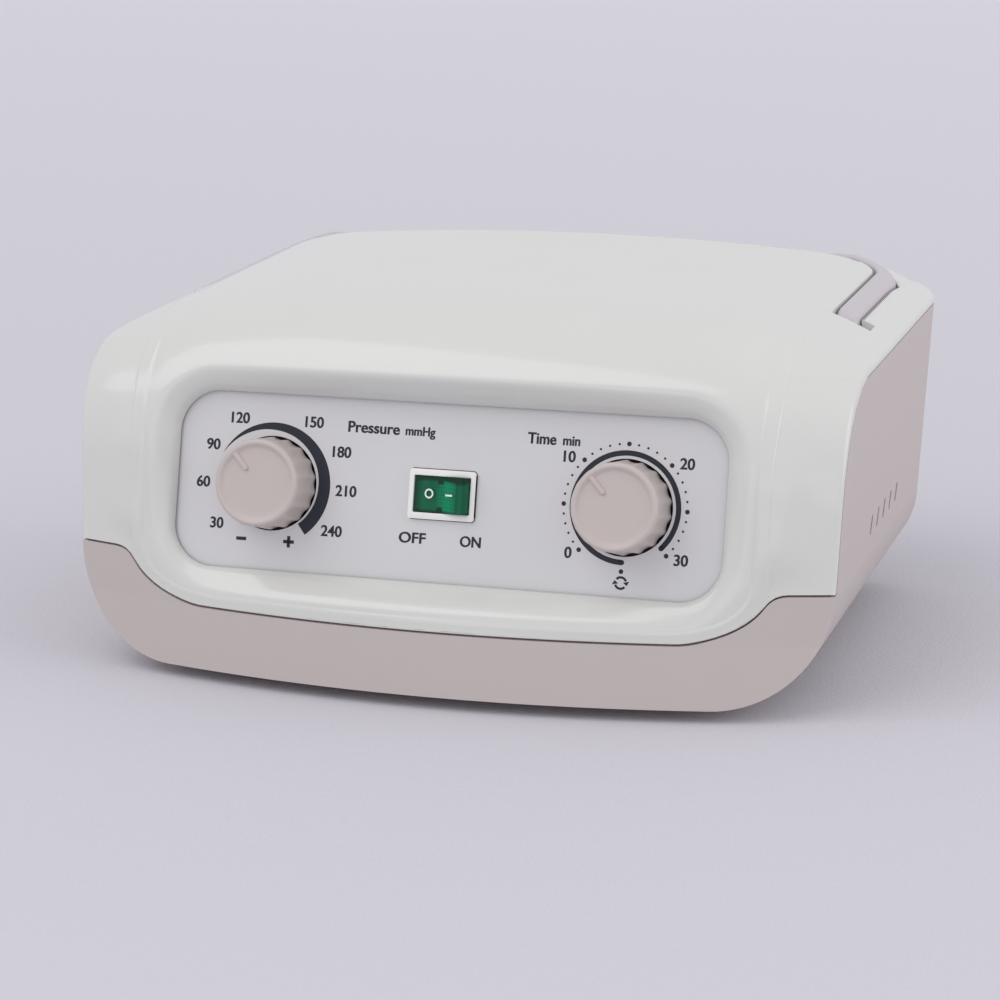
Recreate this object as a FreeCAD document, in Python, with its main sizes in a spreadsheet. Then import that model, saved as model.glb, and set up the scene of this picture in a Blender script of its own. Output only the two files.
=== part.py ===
import FreeCAD, Part
import math
import os
import re
import Sketcher

# Air compression therapy pump, millimetres. X runs to the right of the front, Y to the back, Z up.
# The origin is on the table, under the middle of the casing.
sizes = {
    # casing
    "caseWidth": 244, "caseDepth": 190, "crownHeight": 115, "baseHeight": 4, "wall": 2.5,
    "crownRadius": 1067, "crownFlat": 80, "shoulderRadius": 81,
    "railDrop": 17, "lowerCorner": 34, "sideDraft": 1.9, "rearLean": 11.2, "rearCorner": 13,
    "seamHeight": 23, "cheekSeam": 38, "ogeeStart": 47, "ogeeEnd": 14.5, "seamGap": 0.3, "cornerLip": 1.6,
    "skirtLean": 10, "bowRadius": 388, "frontTop": 23.5, "cornerSetback": 7.2,
    "browBack": 46, "browDown": 40, "cheekBack": 28, "cheekDown": 38, "cheekWidth": 24,
    # control panel and the dish around it
    "panelSetback": 25, "panelHeight": 60, "panelLean": 14.73, "panelThick": 2,
    "openingInset": 35, "openingUp": 27.6, "openingDown": 26.8, "openingCorner": 13,
    "panelMargin": 2.7, "lipHeight": 0.8, "dishDepth": 14, "dishFlare": 9, "dishWall": 3,
    # dials
    "dialOffset": 56.2, "wellRadius": 14.6, "wellFlange": 17.5, "wellDepth": 2, "wellFloor": 1.5,
    "knobBase": 14.3, "knobFace": 13.3, "knobHeight": 14, "knobSink": 1, "knobRecess": 1,
    "knobRim": 1.9, "knobWall": 1.8, "fluteCount": 18, "fluteRadius": 3.4, "fluteDepth": 0.75,
    "ribWidth": 1.8, "ribStart": 4.9, "ribDrop": 0.2, "rimRound": 0.7, "pointerRest": 132,
    "hubRadius": 5, "spindleRadius": 3, "turnFit": 0.05, "spindleSink": 14,
    "bushRadius": 4.5, "nutRadius": 6.5, "nutThick": 2,
    "bushProud": 0.5, "regulatorRadius": 12, "regulatorLength": 28, "regulatorSpigot": 8, "sideSpigot": 4,
    "timerWidth": 36, "timerLength": 22, "timerCorner": 3, "tabWidth": 4.8, "tabThick": 0.8, "tabLength": 8,
    # rocker switch
    "switchOffset": -0.85, "bezelLength": 21, "bezelWidth": 15.15, "bezelHeight": 1.2,
    "bezelCorner": 1, "switchLength": 19, "switchWidth": 13, "switchDepth": 19, "switchWell": 8,
    "rockerLength": 17.6, "rockerWidth": 10.9, "rockerKeel": 4.5, "trunnionWall": 0.4, "bladePitch": 6,
    "rockerFit": 0.2, "rockerTilt": 12.3, "rockerPivot": 0.3, "rockerTop": 1.2, "trunnionRadius": 1.2,
    # carrying handle
    "lidInset": 18.3, "lidSetback": 12, "lidCorner": 9.5, "channelFront": 4, "channelWidth": 7.1,
    "channelDepth": 11, "channelRear": 8, "channelCorner": 17, "handleFit": 0.4, "handleProud": 0.5,
    "rearDrop": 4.5, "handleThick": 10.3, "handleRearGap": 2.2, "pivotSetback": 9.5, "pivotDrop": 17,
    "pinRadius": 2, "pinFit": 0.04, "pinSink": 2.2, "pinTail": 1.2, "notchWidth": 4.2, "notchLength": 14,
    "notchDrop": 2.3, "scoopHalf": 25, "scoopDepth": 9.5, "scoopRound": 5,
    # vents and feet
    "ventCount": 5, "ventPitch": 10.6, "ventWidth": 2, "ventTall": 6.4, "ventTilt": 27,
    "ventStart": -15.5, "ventHeight": 45, "leftVentStart": 29.5, "floorVentStart": -21.2,
    "footRadius": 9, "footSeat": 1, "footInset": 52, "footSetback": 33,
    # posts and screws
    "postRadius": 5, "postJoint": 45, "frontPostInset": 14, "frontPostSetback": 53,
    "rearPostInset": 30, "rearPostSetback": 25,
    "screwRadius": 1.75, "screwHead": 3.5, "screwHeadTall": 2.5, "screwSeat": 20, "screwLength": 39,
    "screwRoom": 0.4, "driveWidth": 0.9, "driveDepth": 1.2,
    # air side
    "portHeight": 55, "portPitch": 10, "portRadius": 4, "portDepth": 11, "portMiddle": -8,
    "outletDepth": 12, "outletWidth": 46, "outletTall": 16, "nozzleRadius": 2, "airBore": 1.1,
    "tubeWall": 1.2, "spigotLength": 3.5, "inletSpigot": 6, "outletTube": 9.4, "hoseBend": 7,
    "hoseDrop": 25, "leftHoseBack": 5.9, "rightHoseBack": 10.1, "rightHoseInset": 23,
    "valveInset": 42, "valveWidth": 36, "valveTall": 16, "valveFoot": 14, "rotorRadius": 13, "rotorThick": 3,
    "rotorPort": 7.8, "runGap": 0.3, "motorRadius": 18, "motorTall": 18, "motorCap": 3,
    "pumpX": -20, "pumpSetback": 53, "pumpZ": 42, "baseLong": 92, "baseWide": 60, "baseThick": 2.5,
    "coreLong": 36, "coreTall": 36, "coreDeep": 20, "coreGap": 6, "magnetLong": 28, "magnetTall": 24,
    "rodRadius": 3.5, "endPlate": 4, "chamberRadius": 20, "headSize": 52, "headLong": 16,
    "headFloor": 5, "pumpSpout": 8, "filterRadius": 8, "filterTall": 6, "membraneThick": 1,
    "membraneEdge": 2, "pistonRadius": 12, "pistonThick": 1.7, "strokeRoom": 1.8,
    "mountRadius": 6, "mountInset": 8, "shelfThick": 4, "coilThick": 5, "coilCover": 8, "magnetGap": 1.5,
    # electrics
    "inletGap": 17, "inletHeight": 34, "inletLong": 27, "inletTall": 20, "inletDeep": 22,
    "inletFlange": 2, "inletRim": 1.8, "shroudLong": 23, "shroudTall": 16, "shroudDeep": 18,
    "contactLong": 12, "contactThick": 2, "contactWide": 4, "contactTail": 8,
    "fuseHeight": 62, "fuseBody": 6, "fuseFlange": 8, "fuseDeep": 24, "fuseWall": 1.8, "fuseRadius": 2.6,
    "capProud": 3, "capDeep": 8,
    "boardX": 50, "boardY": -24, "boardLong": 54, "boardWide": 78, "boardHeight": 14, "boardThick": 1.6,
    "boardInset": 4, "boardScrew": 1.2, "boardPost": 3.5, "coreAlong": 33, "coreAcross": 48, "coreSide": 34,
    "coreWide": 28, "coreLimb": 5, "windowWide": 6, "capacitorRadius": 6, "capacitorTall": 20,
    "firstCapacitor": 14, "secondCapacitor": 30, "partsAcross": 20, "relayAlong": 45, "terminalAlong": 8,
    "relayLong": 14, "relayWide": 18, "relayTall": 15, "terminalLong": 10, "terminalWide": 24,
    "leadRadius": 1.1, "leadBend": 5, "leadInset": 13, "leadRise": 41, "leadRun": 38.4,
}
# what follows from the sizes: places kept from the casing's sides, rear and top, and from neighbours
derived = {
    "railHeight": "crownHeight - railDrop", "pivotHeight": "crownHeight - pivotDrop",
    "cheekBlend": "caseWidth / 2 - cheekWidth", "openingHalf": "caseWidth / 2 - openingInset",
    "seamFlat": "caseWidth / 2 - ogeeStart", "seamTop": "caseWidth / 2 - ogeeEnd",
    "lidHalf": "caseWidth / 2 - lidInset", "lidRear": "caseDepth / 2 - lidSetback",
    "footX": "caseWidth / 2 - footInset", "footY": "caseDepth / 2 - footSetback",
    "frontPostX": "caseWidth / 2 - frontPostInset", "frontPostY": "frontPostSetback - caseDepth / 2",
    "rearPostX": "caseWidth / 2 - rearPostInset", "rearPostY": "caseDepth / 2 - rearPostSetback",
    "valveX": "valveInset - caseWidth / 2", "pumpY": "caseDepth / 2 - pumpSetback",
    "inletX": "pumpX + baseLong / 2 + membraneThick + headLong + inletGap",
    "coreX": "boardX + coreAlong", "coreY": "boardY + coreAcross", "partsY": "boardY + partsAcross",
    "firstCapacitorX": "boardX + firstCapacitor", "secondCapacitorX": "boardX + secondCapacitor",
    "relayX": "boardX + relayAlong", "terminalX": "boardX + terminalAlong",
}

doc = FreeCAD.newDocument("CompressionPump")
sheet = doc.addObject("Spreadsheet::Sheet", "Sizes")
for row, name in enumerate([*sizes, *derived], 1):
    sheet.set(f"A{row}", name)
    sheet.setAlias(f"B{row}", name)
for row, number in enumerate(sizes.values(), 1):
    sheet.set(f"B{row}", str(number))
for row, text in enumerate(derived.values(), len(sizes) + 1):
    sheet.set(f"B{row}", "=" + text)
doc.recompute()


class Values:
    """The sheet's cells as attributes."""

    def __getattr__(self, name):
        return float(sheet.get(name))


size = Values()
V = FreeCAD.Vector
axisX, axisY, axisZ = V(1, 0, 0), V(0, 1, 0), V(0, 0, 1)
nodes = {}


# ---------------------------------------------------------------- expressions, sketches, primitives
def refer(text):
    """The expression with each size written as its cell in the sheet."""
    return re.sub(r"[A-Za-z]\w*", lambda m: "Sizes." + m[0] if m[0] in {*sizes, *derived} else m[0], text)


def bind(item, **properties):
    for key, text in properties.items():
        item.setExpression(key.replace("_", "."), refer(text))


def place(item, x, y, z, turnAxis=axisX, turn=None):
    """Put an object at x, y, z, turned about an axis by an angle that is an expression too."""
    if turn is not None:
        item.Placement = FreeCAD.Placement(V(), FreeCAD.Rotation(turnAxis, 10))
        bind(item, Placement_Rotation_Angle=turn)
    bind(item, Placement_Base_x=x, Placement_Base_y=y, Placement_Base_z=z)
    return item


def onPanel(item, x):
    """Put an object on the panel's face at x: its Z points out of the panel and its Y up the panel."""
    return place(item, x, panelY, "panelHeight", axisX, "90 - panelLean")


def onRear(item, x, height):
    """Put an object on the rear wall: its Z points out of the wall and its Y down it."""
    return place(item, x, rearY(height), height, axisX, "-90 - rearLean")


panelY = "panelSetback - caseDepth / 2"


def rearY(height):
    return f"caseDepth / 2 - (railHeight - {height}) * tan(rearLean)"


def keep(label, item):
    item.Label = label
    nodes[label] = item
    return item


def box(length, width, height, x="0", y="0", z="0", middle=""):
    """A box from its low corner; the letters in middle name the axes on which x, y, z is its middle."""
    item = doc.addObject("Part::Box", "Block")
    bind(item, Length=length, Width=width, Height=height)
    low = {"x": (x, length), "y": (y, width), "z": (z, height)}
    start = [f"{at} - ({span}) / 2" if axis in middle else at for axis, (at, span) in low.items()]
    return place(item, *start)


def cylinder(radius, height, x="0", y="0", z="0", along="z"):
    item = doc.addObject("Part::Cylinder", "Round")
    bind(item, Radius=radius, Height=height)
    if along == "x":
        return place(item, x, y, z, axisY, "90")
    if along == "y":
        return place(item, x, y, z, axisX, "-90")
    return place(item, x, y, z)


def fuse(*items):
    item = doc.addObject("Part::MultiFuse", "Join")
    item.Shapes = list(items)
    return item


def cut(base, *tools):
    item = doc.addObject("Part::Cut", "Cut")
    item.Base = base
    item.Tool = tools[0] if len(tools) == 1 else fuse(*tools)
    return item


def group(*items):
    item = doc.addObject("Part::Compound", "Group")
    item.Links = list(items)
    return item


def newSketch(body, role, offset="0", turn=None):
    plane = next(p for p in body.Origin.OriginFeatures if p.Role == role)
    sketch = body.newObject("Sketcher::SketchObject", "Outline")
    sketch.AttachmentSupport = (plane, "")
    sketch.MapMode = "FlatFace"
    if turn is not None:
        sketch.AttachmentOffset = FreeCAD.Placement(V(), FreeCAD.Rotation(axisZ, 10))
        bind(sketch, AttachmentOffset_Rotation_Angle=turn)
    bind(sketch, AttachmentOffset_Base_z=offset)
    return sketch


def fixPoint(sketch, geometry, end, x, y):
    """Hold a point of the sketch at x, y, both expressions."""
    for kind, text in (("DistanceX", x), ("DistanceY", y)):
        at = sketch.getPoint(geometry, end)
        now = at.x if kind == "DistanceX" else at.y
        number = sketch.addConstraint(Sketcher.Constraint(kind, -1, 1, geometry, end, now))
        sketch.setExpression(f"Constraints[{number}]", refer(text))


def polygon(sketch, points):
    """A closed outline through points that are pairs of expressions."""
    count = len(points)
    turns = [2 * math.pi * k / count for k in range(count)]
    start = [V(math.cos(a), math.sin(a), 0) for a in turns]
    first = sketch.GeometryCount
    for k in range(count):
        sketch.addGeometry(Part.LineSegment(start[k], start[(k + 1) % count]))
    for k in range(count):
        sketch.addConstraint(Sketcher.Constraint("Coincident", first + k, 2, first + (k + 1) % count, 1))
    for k, (x, y) in enumerate(points):
        fixPoint(sketch, first + k, 1, x, y)
    return sketch


def rectangle(sketch, halfX, lowY, highY, middleX="0"):
    return polygon(sketch, [(f"{middleX} - ({halfX})", lowY), (f"{middleX} + {halfX}", lowY),
                            (f"{middleX} + {halfX}", highY), (f"{middleX} - ({halfX})", highY)])


def circle(sketch, radius, x="0", y="0"):
    number = sketch.addGeometry(Part.Circle(V(1, 1, 0), axisZ, 3))
    fixPoint(sketch, number, 3, x, y)
    at = sketch.addConstraint(Sketcher.Constraint("Radius", number, 3))
    sketch.setExpression(f"Constraints[{at}]", refer(radius))
    return sketch


def newBody():
    return doc.addObject("PartDesign::Body", "Body")


def pad(body, sketch, length, down=False, middle=False):
    item = body.newObject("PartDesign::Pad", "Pad")
    item.Profile = sketch
    bind(item, Length=length)
    item.Reversed = down
    item.Midplane = middle
    sketch.Visibility = False
    return item


def pocket(body, sketch, length, up=False):
    """Cut the sketch down into the body, or up where up is set."""
    item = body.newObject("PartDesign::Pocket", "Pocket")
    item.Profile = sketch
    bind(item, Length=length)
    item.Reversed = up
    return item


def roundUprights(body, base, radius):
    """Fillet the edges of the body's last feature that run along its Z."""
    doc.recompute()
    names = []
    for number, edge in enumerate(base.Shape.Edges, 1):
        if len(edge.Vertexes) == 2:
            way = edge.Vertexes[1].Point - edge.Vertexes[0].Point
            if math.hypot(way.x, way.y) < 1e-6:
                names.append(f"Edge{number}")
    item = body.newObject("PartDesign::Fillet", "Fillet")
    item.Base = (base, names)
    bind(item, Radius=radius)
    return item


def turned(points):
    """A body turned about Z from an outline of radius and height."""
    body = newBody()
    sketch = polygon(newSketch(body, "XZ_Plane"), points)
    item = body.newObject("PartDesign::Revolution", "Turn")
    item.Profile = sketch
    item.ReferenceAxis = (sketch, ["V_Axis"])
    item.Angle = 360
    return body


def spin(body, feature, count):
    """Repeat a feature around the body's Z."""
    item = body.newObject("PartDesign::PolarPattern", "Around")
    item.Originals = [feature]
    zAxis = next(p for p in body.Origin.OriginFeatures if p.Role == "Z_Axis")
    item.Axis = (zAxis, [""])
    item.Angle = 360
    bind(item, Occurrences=count)
    body.Tip = item
    return item


# ---------------------------------------------------------------- the casing's outer and inner form
halfWidth, frontY, rearMost = size.caseWidth / 2, -size.caseDepth / 2, size.caseDepth / 2
draft = math.tan(math.radians(size.sideDraft))


def crown(x):
    """Height of the top: nearly flat in the middle, with rounder shoulders."""
    flat = min(abs(x), size.crownFlat)
    out = abs(x) - flat
    slope = size.crownFlat / size.crownRadius
    middle = size.crownHeight - flat**2 / (2 * size.crownRadius)
    return middle - out * slope - out**2 / (2 * size.shoulderRadius)


def smooth(share):
    share = max(0, min(1, share))
    return share * share * (3 - 2 * share)


def sideSection(x, inset):
    """The casing's outline at x, seen from the side, inset all round; the rear is cut later."""
    top, bottom = crown(x) - inset, size.baseHeight + inset
    bow = x * x / (2 * size.bowRadius)
    lift = size.seamHeight - size.baseHeight
    foot = frontY + bow + inset
    seam = foot + lift * math.tan(math.radians(size.skirtLean))
    corner = frontY + size.frontTop + size.cornerSetback * (x / halfWidth) ** 4 + inset
    share = smooth((abs(x) - size.cheekBlend) / (halfWidth - size.cheekBlend))
    back = size.browBack + (size.cheekBack - size.browBack) * share
    down = size.browDown + (size.cheekDown - size.browDown) * share
    lean = (corner - seam) / (top - size.seamHeight)
    low, high, edge = V(x, corner - down * lean, top - down), V(x, corner + back, top), V(x, corner, top)
    curve = Part.BezierCurve()
    curve.setPoles([low, edge, high])
    far = rearMost + 20
    corners = [high, V(x, far, top), V(x, far, bottom), V(x, foot, bottom), V(x, seam, size.seamHeight), low]
    lines = [Part.LineSegment(a, b).toShape() for a, b in zip(corners, corners[1:])]
    return Part.Wire([curve.toShape()] + lines)


def crownSolid(inset):
    stations = [share * halfWidth for share in (0, 0.2, 0.4, 0.56, 0.66, 0.75, 0.85, 0.93, 1.04)]
    every = [-x for x in reversed(stations[1:])] + stations
    return Part.makeLoft([sideSection(x, inset) for x in every], True)


def sideX(height, inset):
    """Half the width at a height."""
    return halfWidth - (size.railHeight - height) * draft - inset


def frontOutline(inset):
    """Front view: flat bottom, round lower corners, sides that lean out to the top."""
    radius = size.lowerCorner - inset
    bottom, shoulder = size.baseHeight + inset, size.baseHeight + size.lowerCorner
    high = size.crownHeight + 20
    side, inner = sideX(shoulder, inset), sideX(shoulder, inset) - radius
    middle = V(inner + radius * math.sin(math.pi / 4), 0, shoulder - radius * math.cos(math.pi / 4))
    mirror = V(-middle.x, 0, middle.z)
    right = Part.Arc(V(inner, 0, bottom), middle, V(side, 0, shoulder)).toShape()
    left = Part.Arc(V(-side, 0, shoulder), mirror, V(-inner, 0, bottom)).toShape()
    topX = sideX(high, inset)
    points = [V(side, 0, shoulder), V(topX, 0, high), V(-topX, 0, high), V(-side, 0, shoulder)]
    lines = [Part.LineSegment(a, b).toShape() for a, b in zip(points, points[1:])]
    floor = Part.LineSegment(V(-inner, 0, bottom), V(inner, 0, bottom)).toShape()
    face = Part.Face(Part.Wire([floor, right] + lines + [left]))
    face.translate(V(0, frontY - 30, 0))
    return face.extrude(V(0, size.caseDepth + 60, 0))


def planWire(height, inset):
    """The plan outline at a height, with the two rear corners rounded."""
    radius = size.rearCorner - inset
    side = sideX(height, inset)
    lean = math.tan(math.radians(size.rearLean))
    rear = rearMost - (size.railHeight - height) * lean - inset
    near, bend = frontY - 20, radius * (1 - math.sin(math.pi / 4))
    points = [V(-side, rear - radius, height), V(-side, near, height), V(side, near, height),
              V(side, rear - radius, height)]
    lines = [Part.LineSegment(a, b).toShape() for a, b in zip(points, points[1:])]
    right = Part.Arc(points[3], V(side - bend, rear - bend, height), V(side - radius, rear, height)).toShape()
    back = Part.LineSegment(V(side - radius, rear, height), V(radius - side, rear, height)).toShape()
    left = Part.Arc(V(radius - side, rear, height), V(bend - side, rear - bend, height), points[0]).toShape()
    return Part.Wire(lines + [right, back, left])


def form(inset):
    """The casing's whole form, inset all round."""
    plan = Part.makeLoft([planWire(0, inset), planWire(size.crownHeight + 15, inset)], True, True)
    limit = Part.makeBox(2 * size.caseWidth, size.caseDepth + 20 - inset, 2 * size.crownHeight,
                         V(-size.caseWidth, frontY - 20, -10))
    return crownSolid(inset).common(frontOutline(inset)).common(plan).common(limit)


def swept(points, radius, bend):
    """A round rod along straight runs, with arcs of radius bend between them."""
    edges, start = [], points[0]
    for before, corner, after in zip(points, points[1:], points[2:]):
        back, on = (before - corner).normalize(), (after - corner).normalize()
        turn = math.pi - back.getAngle(on)
        reach = bend * math.tan(turn / 2)
        a, b = corner + back * reach, corner + on * reach
        inward = (back + on).normalize()
        middle = corner + inward * (bend / math.cos(turn / 2) - bend)
        edges += [Part.LineSegment(start, a).toShape(), Part.Arc(a, middle, b).toShape()]
        start = b
    edges.append(Part.LineSegment(start, points[-1]).toShape())
    ring = Part.Wire([Part.Circle(points[0], points[1] - points[0], radius).toShape()])
    return Part.Wire(edges).makePipeShell([ring], True, False)


def bar(radius, start, end):
    """A round bar from one point to another."""
    return Part.makeCylinder(radius, (end - start).Length, start, end - start)


def feature(label, shape):
    item = doc.addObject("Part::Feature", "Piece")
    item.Shape = shape
    item.Placement = FreeCAD.Placement()
    return keep(label, item)


# ---------------------------------------------------------------- the panel's opening and dish
panelMiddle = V(0, frontY + size.panelSetback, size.panelHeight)
panelPlace = FreeCAD.Placement(panelMiddle, FreeCAD.Rotation(axisX, 90 - size.panelLean))


def openingWire(grow, height):
    """The panel opening's round-cornered outline, grown all round, at a height above the panel."""
    half, up, down = size.openingHalf + grow, size.openingUp + grow, size.openingDown + grow
    radius = size.openingCorner + grow
    bend = radius * (1 - math.sin(math.pi / 4))
    arcs = []
    for sx, sy in ((1, 1), (-1, 1), (-1, -1), (1, -1)):
        rise = up if sy > 0 else down
        along, across = V(sx * (half - radius), sy * rise, height), V(sx * half, sy * (rise - radius), height)
        middle = V(sx * (half - bend), sy * (rise - bend), height)
        arcs.append([across, middle, along] if sx == sy else [along, middle, across])
    edges = []
    for arc, after in zip(arcs, arcs[1:] + arcs[:1]):
        edges += [Part.Arc(*arc).toShape(), Part.LineSegment(arc[2], after[0]).toShape()]
    return Part.Wire(edges)


def openingPrism(grow, low, high):
    shape = Part.Face(openingWire(grow, low)).extrude(V(0, 0, high - low))
    shape.Placement = panelPlace
    return shape


def dishCone(grow):
    """The dish's flaring space, from the lip out past the casing's front, grown all round."""
    reach = 1.3 * size.dishDepth
    flare = size.dishFlare * reach / size.dishDepth
    low = size.lipHeight - grow
    shape = Part.makeLoft([openingWire(grow, low), openingWire(grow + flare, low + reach)], True, True)
    shape.Placement = panelPlace
    return shape


# ---------------------------------------------------------------- the handle's channel
pivotY = size.channelFront + size.pivotSetback
eyeRadius = size.pivotSetback - size.handleFit
notchX = size.lidHalf + size.channelWidth
notchY = pivotY - size.notchLength / 2


def uPrism(grow, rearGap=0):
    """The U of the handle's channel seen from above, grown all round, as a tall prism."""
    inX, inY, inR = size.lidHalf - grow, size.lidRear - grow + rearGap, size.lidCorner - grow
    outX, outY = size.lidHalf + size.channelWidth + grow, size.lidRear + size.channelRear + grow
    outR, near = size.channelCorner + grow, size.channelFront - grow
    inBend, outBend = inR * (1 - math.sin(math.pi / 4)), outR * (1 - math.sin(math.pi / 4))
    outer = [V(outX, near), V(outX, outY - outR), V(outX - outBend, outY - outBend), V(outX - outR, outY)]
    inner = [V(inX - inR, inY), V(inX - inBend, inY - inBend), V(inX, inY - inR), V(inX, near)]

    def flip(p):
        return V(-p.x, p.y)

    edges = [Part.LineSegment(outer[0], outer[1]).toShape(), Part.Arc(*outer[1:]).toShape(),
             Part.LineSegment(outer[3], flip(outer[3])).toShape(),
             Part.Arc(*[flip(p) for p in reversed(outer[1:])]).toShape(),
             Part.LineSegment(flip(outer[1]), flip(outer[0])).toShape(),
             Part.LineSegment(flip(outer[0]), flip(inner[3])).toShape(),
             Part.LineSegment(flip(inner[3]), flip(inner[2])).toShape(),
             Part.Arc(*[flip(p) for p in reversed(inner[:3])]).toShape(),
             Part.LineSegment(flip(inner[0]), inner[0]).toShape(), Part.Arc(*inner[:3]).toShape(),
             Part.LineSegment(inner[2], inner[3]).toShape(), Part.LineSegment(inner[3], outer[0]).toShape()]
    face = Part.Face(Part.Wire(edges))
    face.translate(V(0, 0, size.pivotHeight - 3 * size.channelDepth))
    return face.extrude(V(0, 0, 6 * size.channelDepth))


def both(make):
    """A shape made for each side, right and left, and joined."""
    return make(1).fuse(make(-1))


def sideBox(side, lowX, highX, lowY, highY, lowZ, highZ):
    """A box given by its distances from the middle plane, on one side of it."""
    start = V(lowX if side > 0 else -highX, lowY, lowZ)
    return Part.makeBox(highX - lowX, highY - lowY, highZ - lowZ, start)


def channelSpace(grow):
    """The space of the channel, its two pivot pockets and the notches beside them."""
    floor = size.pivotHeight - size.pivotSetback - grow
    above = size.crownHeight + 20
    run = uPrism(grow).cut(crownSolid(size.channelDepth + grow))

    def pocketAt(side):
        eye = sideBox(side, size.lidHalf - grow, notchX + grow, size.channelFront - grow,
                      pivotY + size.pivotSetback + grow, floor, above)
        low = size.pivotHeight - size.pinRadius - size.notchDrop - grow
        return eye.fuse(sideBox(side, notchX - 1, notchX + size.notchWidth + grow, notchY - grow,
                                notchY + size.notchLength + grow, low, above))

    return run.fuse(both(pocketAt))


# ---------------------------------------------------------------- the two casing shells
def seamRegion(drop):
    """The space under the seam as seen from the front: low in the middle, higher under the cheeks."""
    low, high = size.seamHeight - drop, size.cheekSeam - drop
    rise = high - low
    wide, deep = size.caseWidth, frontY - 20
    start, end = size.seamFlat, size.seamTop
    ogee = [(0, 0), (0.25, 0.085), (0.52, 0.3), (0.74, 0.66), (1, 1)]
    curve = Part.BSplineCurve()
    through = [V(start + along * (end - start), deep, low + up * rise) for along, up in ogee]
    curve.interpolate(Points=through, InitialTangent=axisX, FinalTangent=axisX)
    right = curve.toShape()
    left = right.mirror(V(), axisX)
    corners = [V(end, deep, high), V(wide, deep, high), V(wide, deep, -wide), V(-wide, deep, -wide),
               V(-wide, deep, high), V(-end, deep, high)]
    ends = list(zip(corners, corners[1:])) + [(V(-start, deep, low), V(start, deep, low))]
    edges = [right, left] + [Part.LineSegment(a, b).toShape() for a, b in ends]
    wire = Part.Wire(Part.__sortEdges__(edges))
    return Part.Face(wire).extrude(V(0, size.caseDepth + 60, 0))


def sideRegion(drop):
    """The space of the side and rear walls: outside the inner form, behind and under the white corner."""
    lip = size.cornerLip + drop
    profile = sideSection(halfWidth, lip)
    profile.translate(V(-2 * size.caseWidth, 0, 0))
    behind = Part.Face(profile).extrude(V(4 * size.caseWidth, 0, 0))
    wallIn = size.wall + size.seamGap
    plan = Part.makeLoft([planWire(-10, wallIn), planWire(size.crownHeight + 30, wallIn)], True, True)
    side = Part.makeBox(2 * size.caseWidth, size.caseDepth + 60, size.railHeight - lip + 20,
                        V(-size.caseWidth, frontY - 40, -20))
    return behind.cut(plan).common(side)


outer = form(0)
block = openingPrism(size.panelMargin + size.dishWall, -5, size.lipHeight + 1).fuse(
    dishCone(size.panelMargin + size.dishWall))
cavity = form(size.wall).cut(block).cut(channelSpace(size.wall))
shell = outer.cut(cavity)
lowerSpace = seamRegion(0).fuse(sideRegion(0))
lowerShell = shell.common(seamRegion(size.seamGap).fuse(sideRegion(size.seamGap)))
upperShell = shell.cut(lowerSpace)
posts = [V(sx * x, y) for x, y in ((size.frontPostX, size.frontPostY), (size.rearPostX, size.rearPostY))
         for sx in (1, -1)]


def post(at, low, high, radius=size.postRadius):
    return Part.makeCylinder(radius, high - low, V(at.x, at.y, low))


def slot(x, y, z, tilt, axis=axisX):
    """A rounded slot's space through a wall that faces along axis."""
    half, straight = size.ventWidth / 2, size.ventTall / 2 - size.ventWidth / 2
    depth = 5 * size.wall
    space = Part.makeBox(depth, 2 * half, 2 * straight, V(-depth / 2, -half, -straight))
    for end in (-straight, straight):
        space = space.fuse(Part.makeCylinder(half, depth, V(-depth / 2, 0, end), axisX))
    space.rotate(V(), axisX, -tilt)
    if axis == axisZ:
        space.rotate(V(), axisY, 90)
    space.translate(V(x, y, z))
    return space


topCover, screwTip = upperShell, size.screwSeat + size.screwLength
for at in posts:
    topCover = topCover.fuse(post(at, size.postJoint, crown(at.x) - size.wall))
    topCover = topCover.cut(post(at, size.postJoint, screwTip + 2, size.screwRadius))
topCover = topCover.cut(dishCone(0)).cut(openingPrism(0, -10, size.lipHeight + 0.5))
topCover = topCover.cut(openingPrism(size.panelMargin, -10, 0)).cut(channelSpace(0))
pinLength, pinY = "pinSink + channelWidth + notchWidth + pinTail", "channelFront + pivotSetback"
pinStarts = "lidHalf - pinSink", f"pinSink - lidHalf - ({pinLength})"
pins = keep("handle_pins", group(*[cylinder("pinRadius", pinLength, x, pinY, "pivotHeight", "x")
                                   for x in pinStarts]))
doc.recompute()


def fingerScoop():
    """The round-cornered gap in the rear rail, through which a finger lifts the handle."""
    half, radius = size.scoopHalf, size.scoopRound
    low, start = size.crownHeight - size.scoopDepth, size.lidRear + size.channelRear - 1
    scoop = Part.makeBox(2 * half, 20, 20, V(-half, start, low + radius))
    scoop = scoop.fuse(Part.makeBox(2 * (half - radius), 20, radius, V(radius - half, start, low)))
    return scoop.fuse(both(lambda side: bar(radius, V(side * (half - radius), start, low + radius),
                                            V(side * (half - radius), start + 20, low + radius))))


def overRearRail():
    """The space over the rail behind the lid, which lies lower than the lid and hides behind it."""
    start = V(-size.caseWidth, size.lidRear, size.crownHeight - size.rearDrop)
    return Part.makeBox(2 * size.caseWidth, size.caseDepth, size.crownHeight, start)


feature("upper_cover", topCover.cut(pins.Shape).cut(fingerScoop()).cut(overRearRail()))

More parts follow.
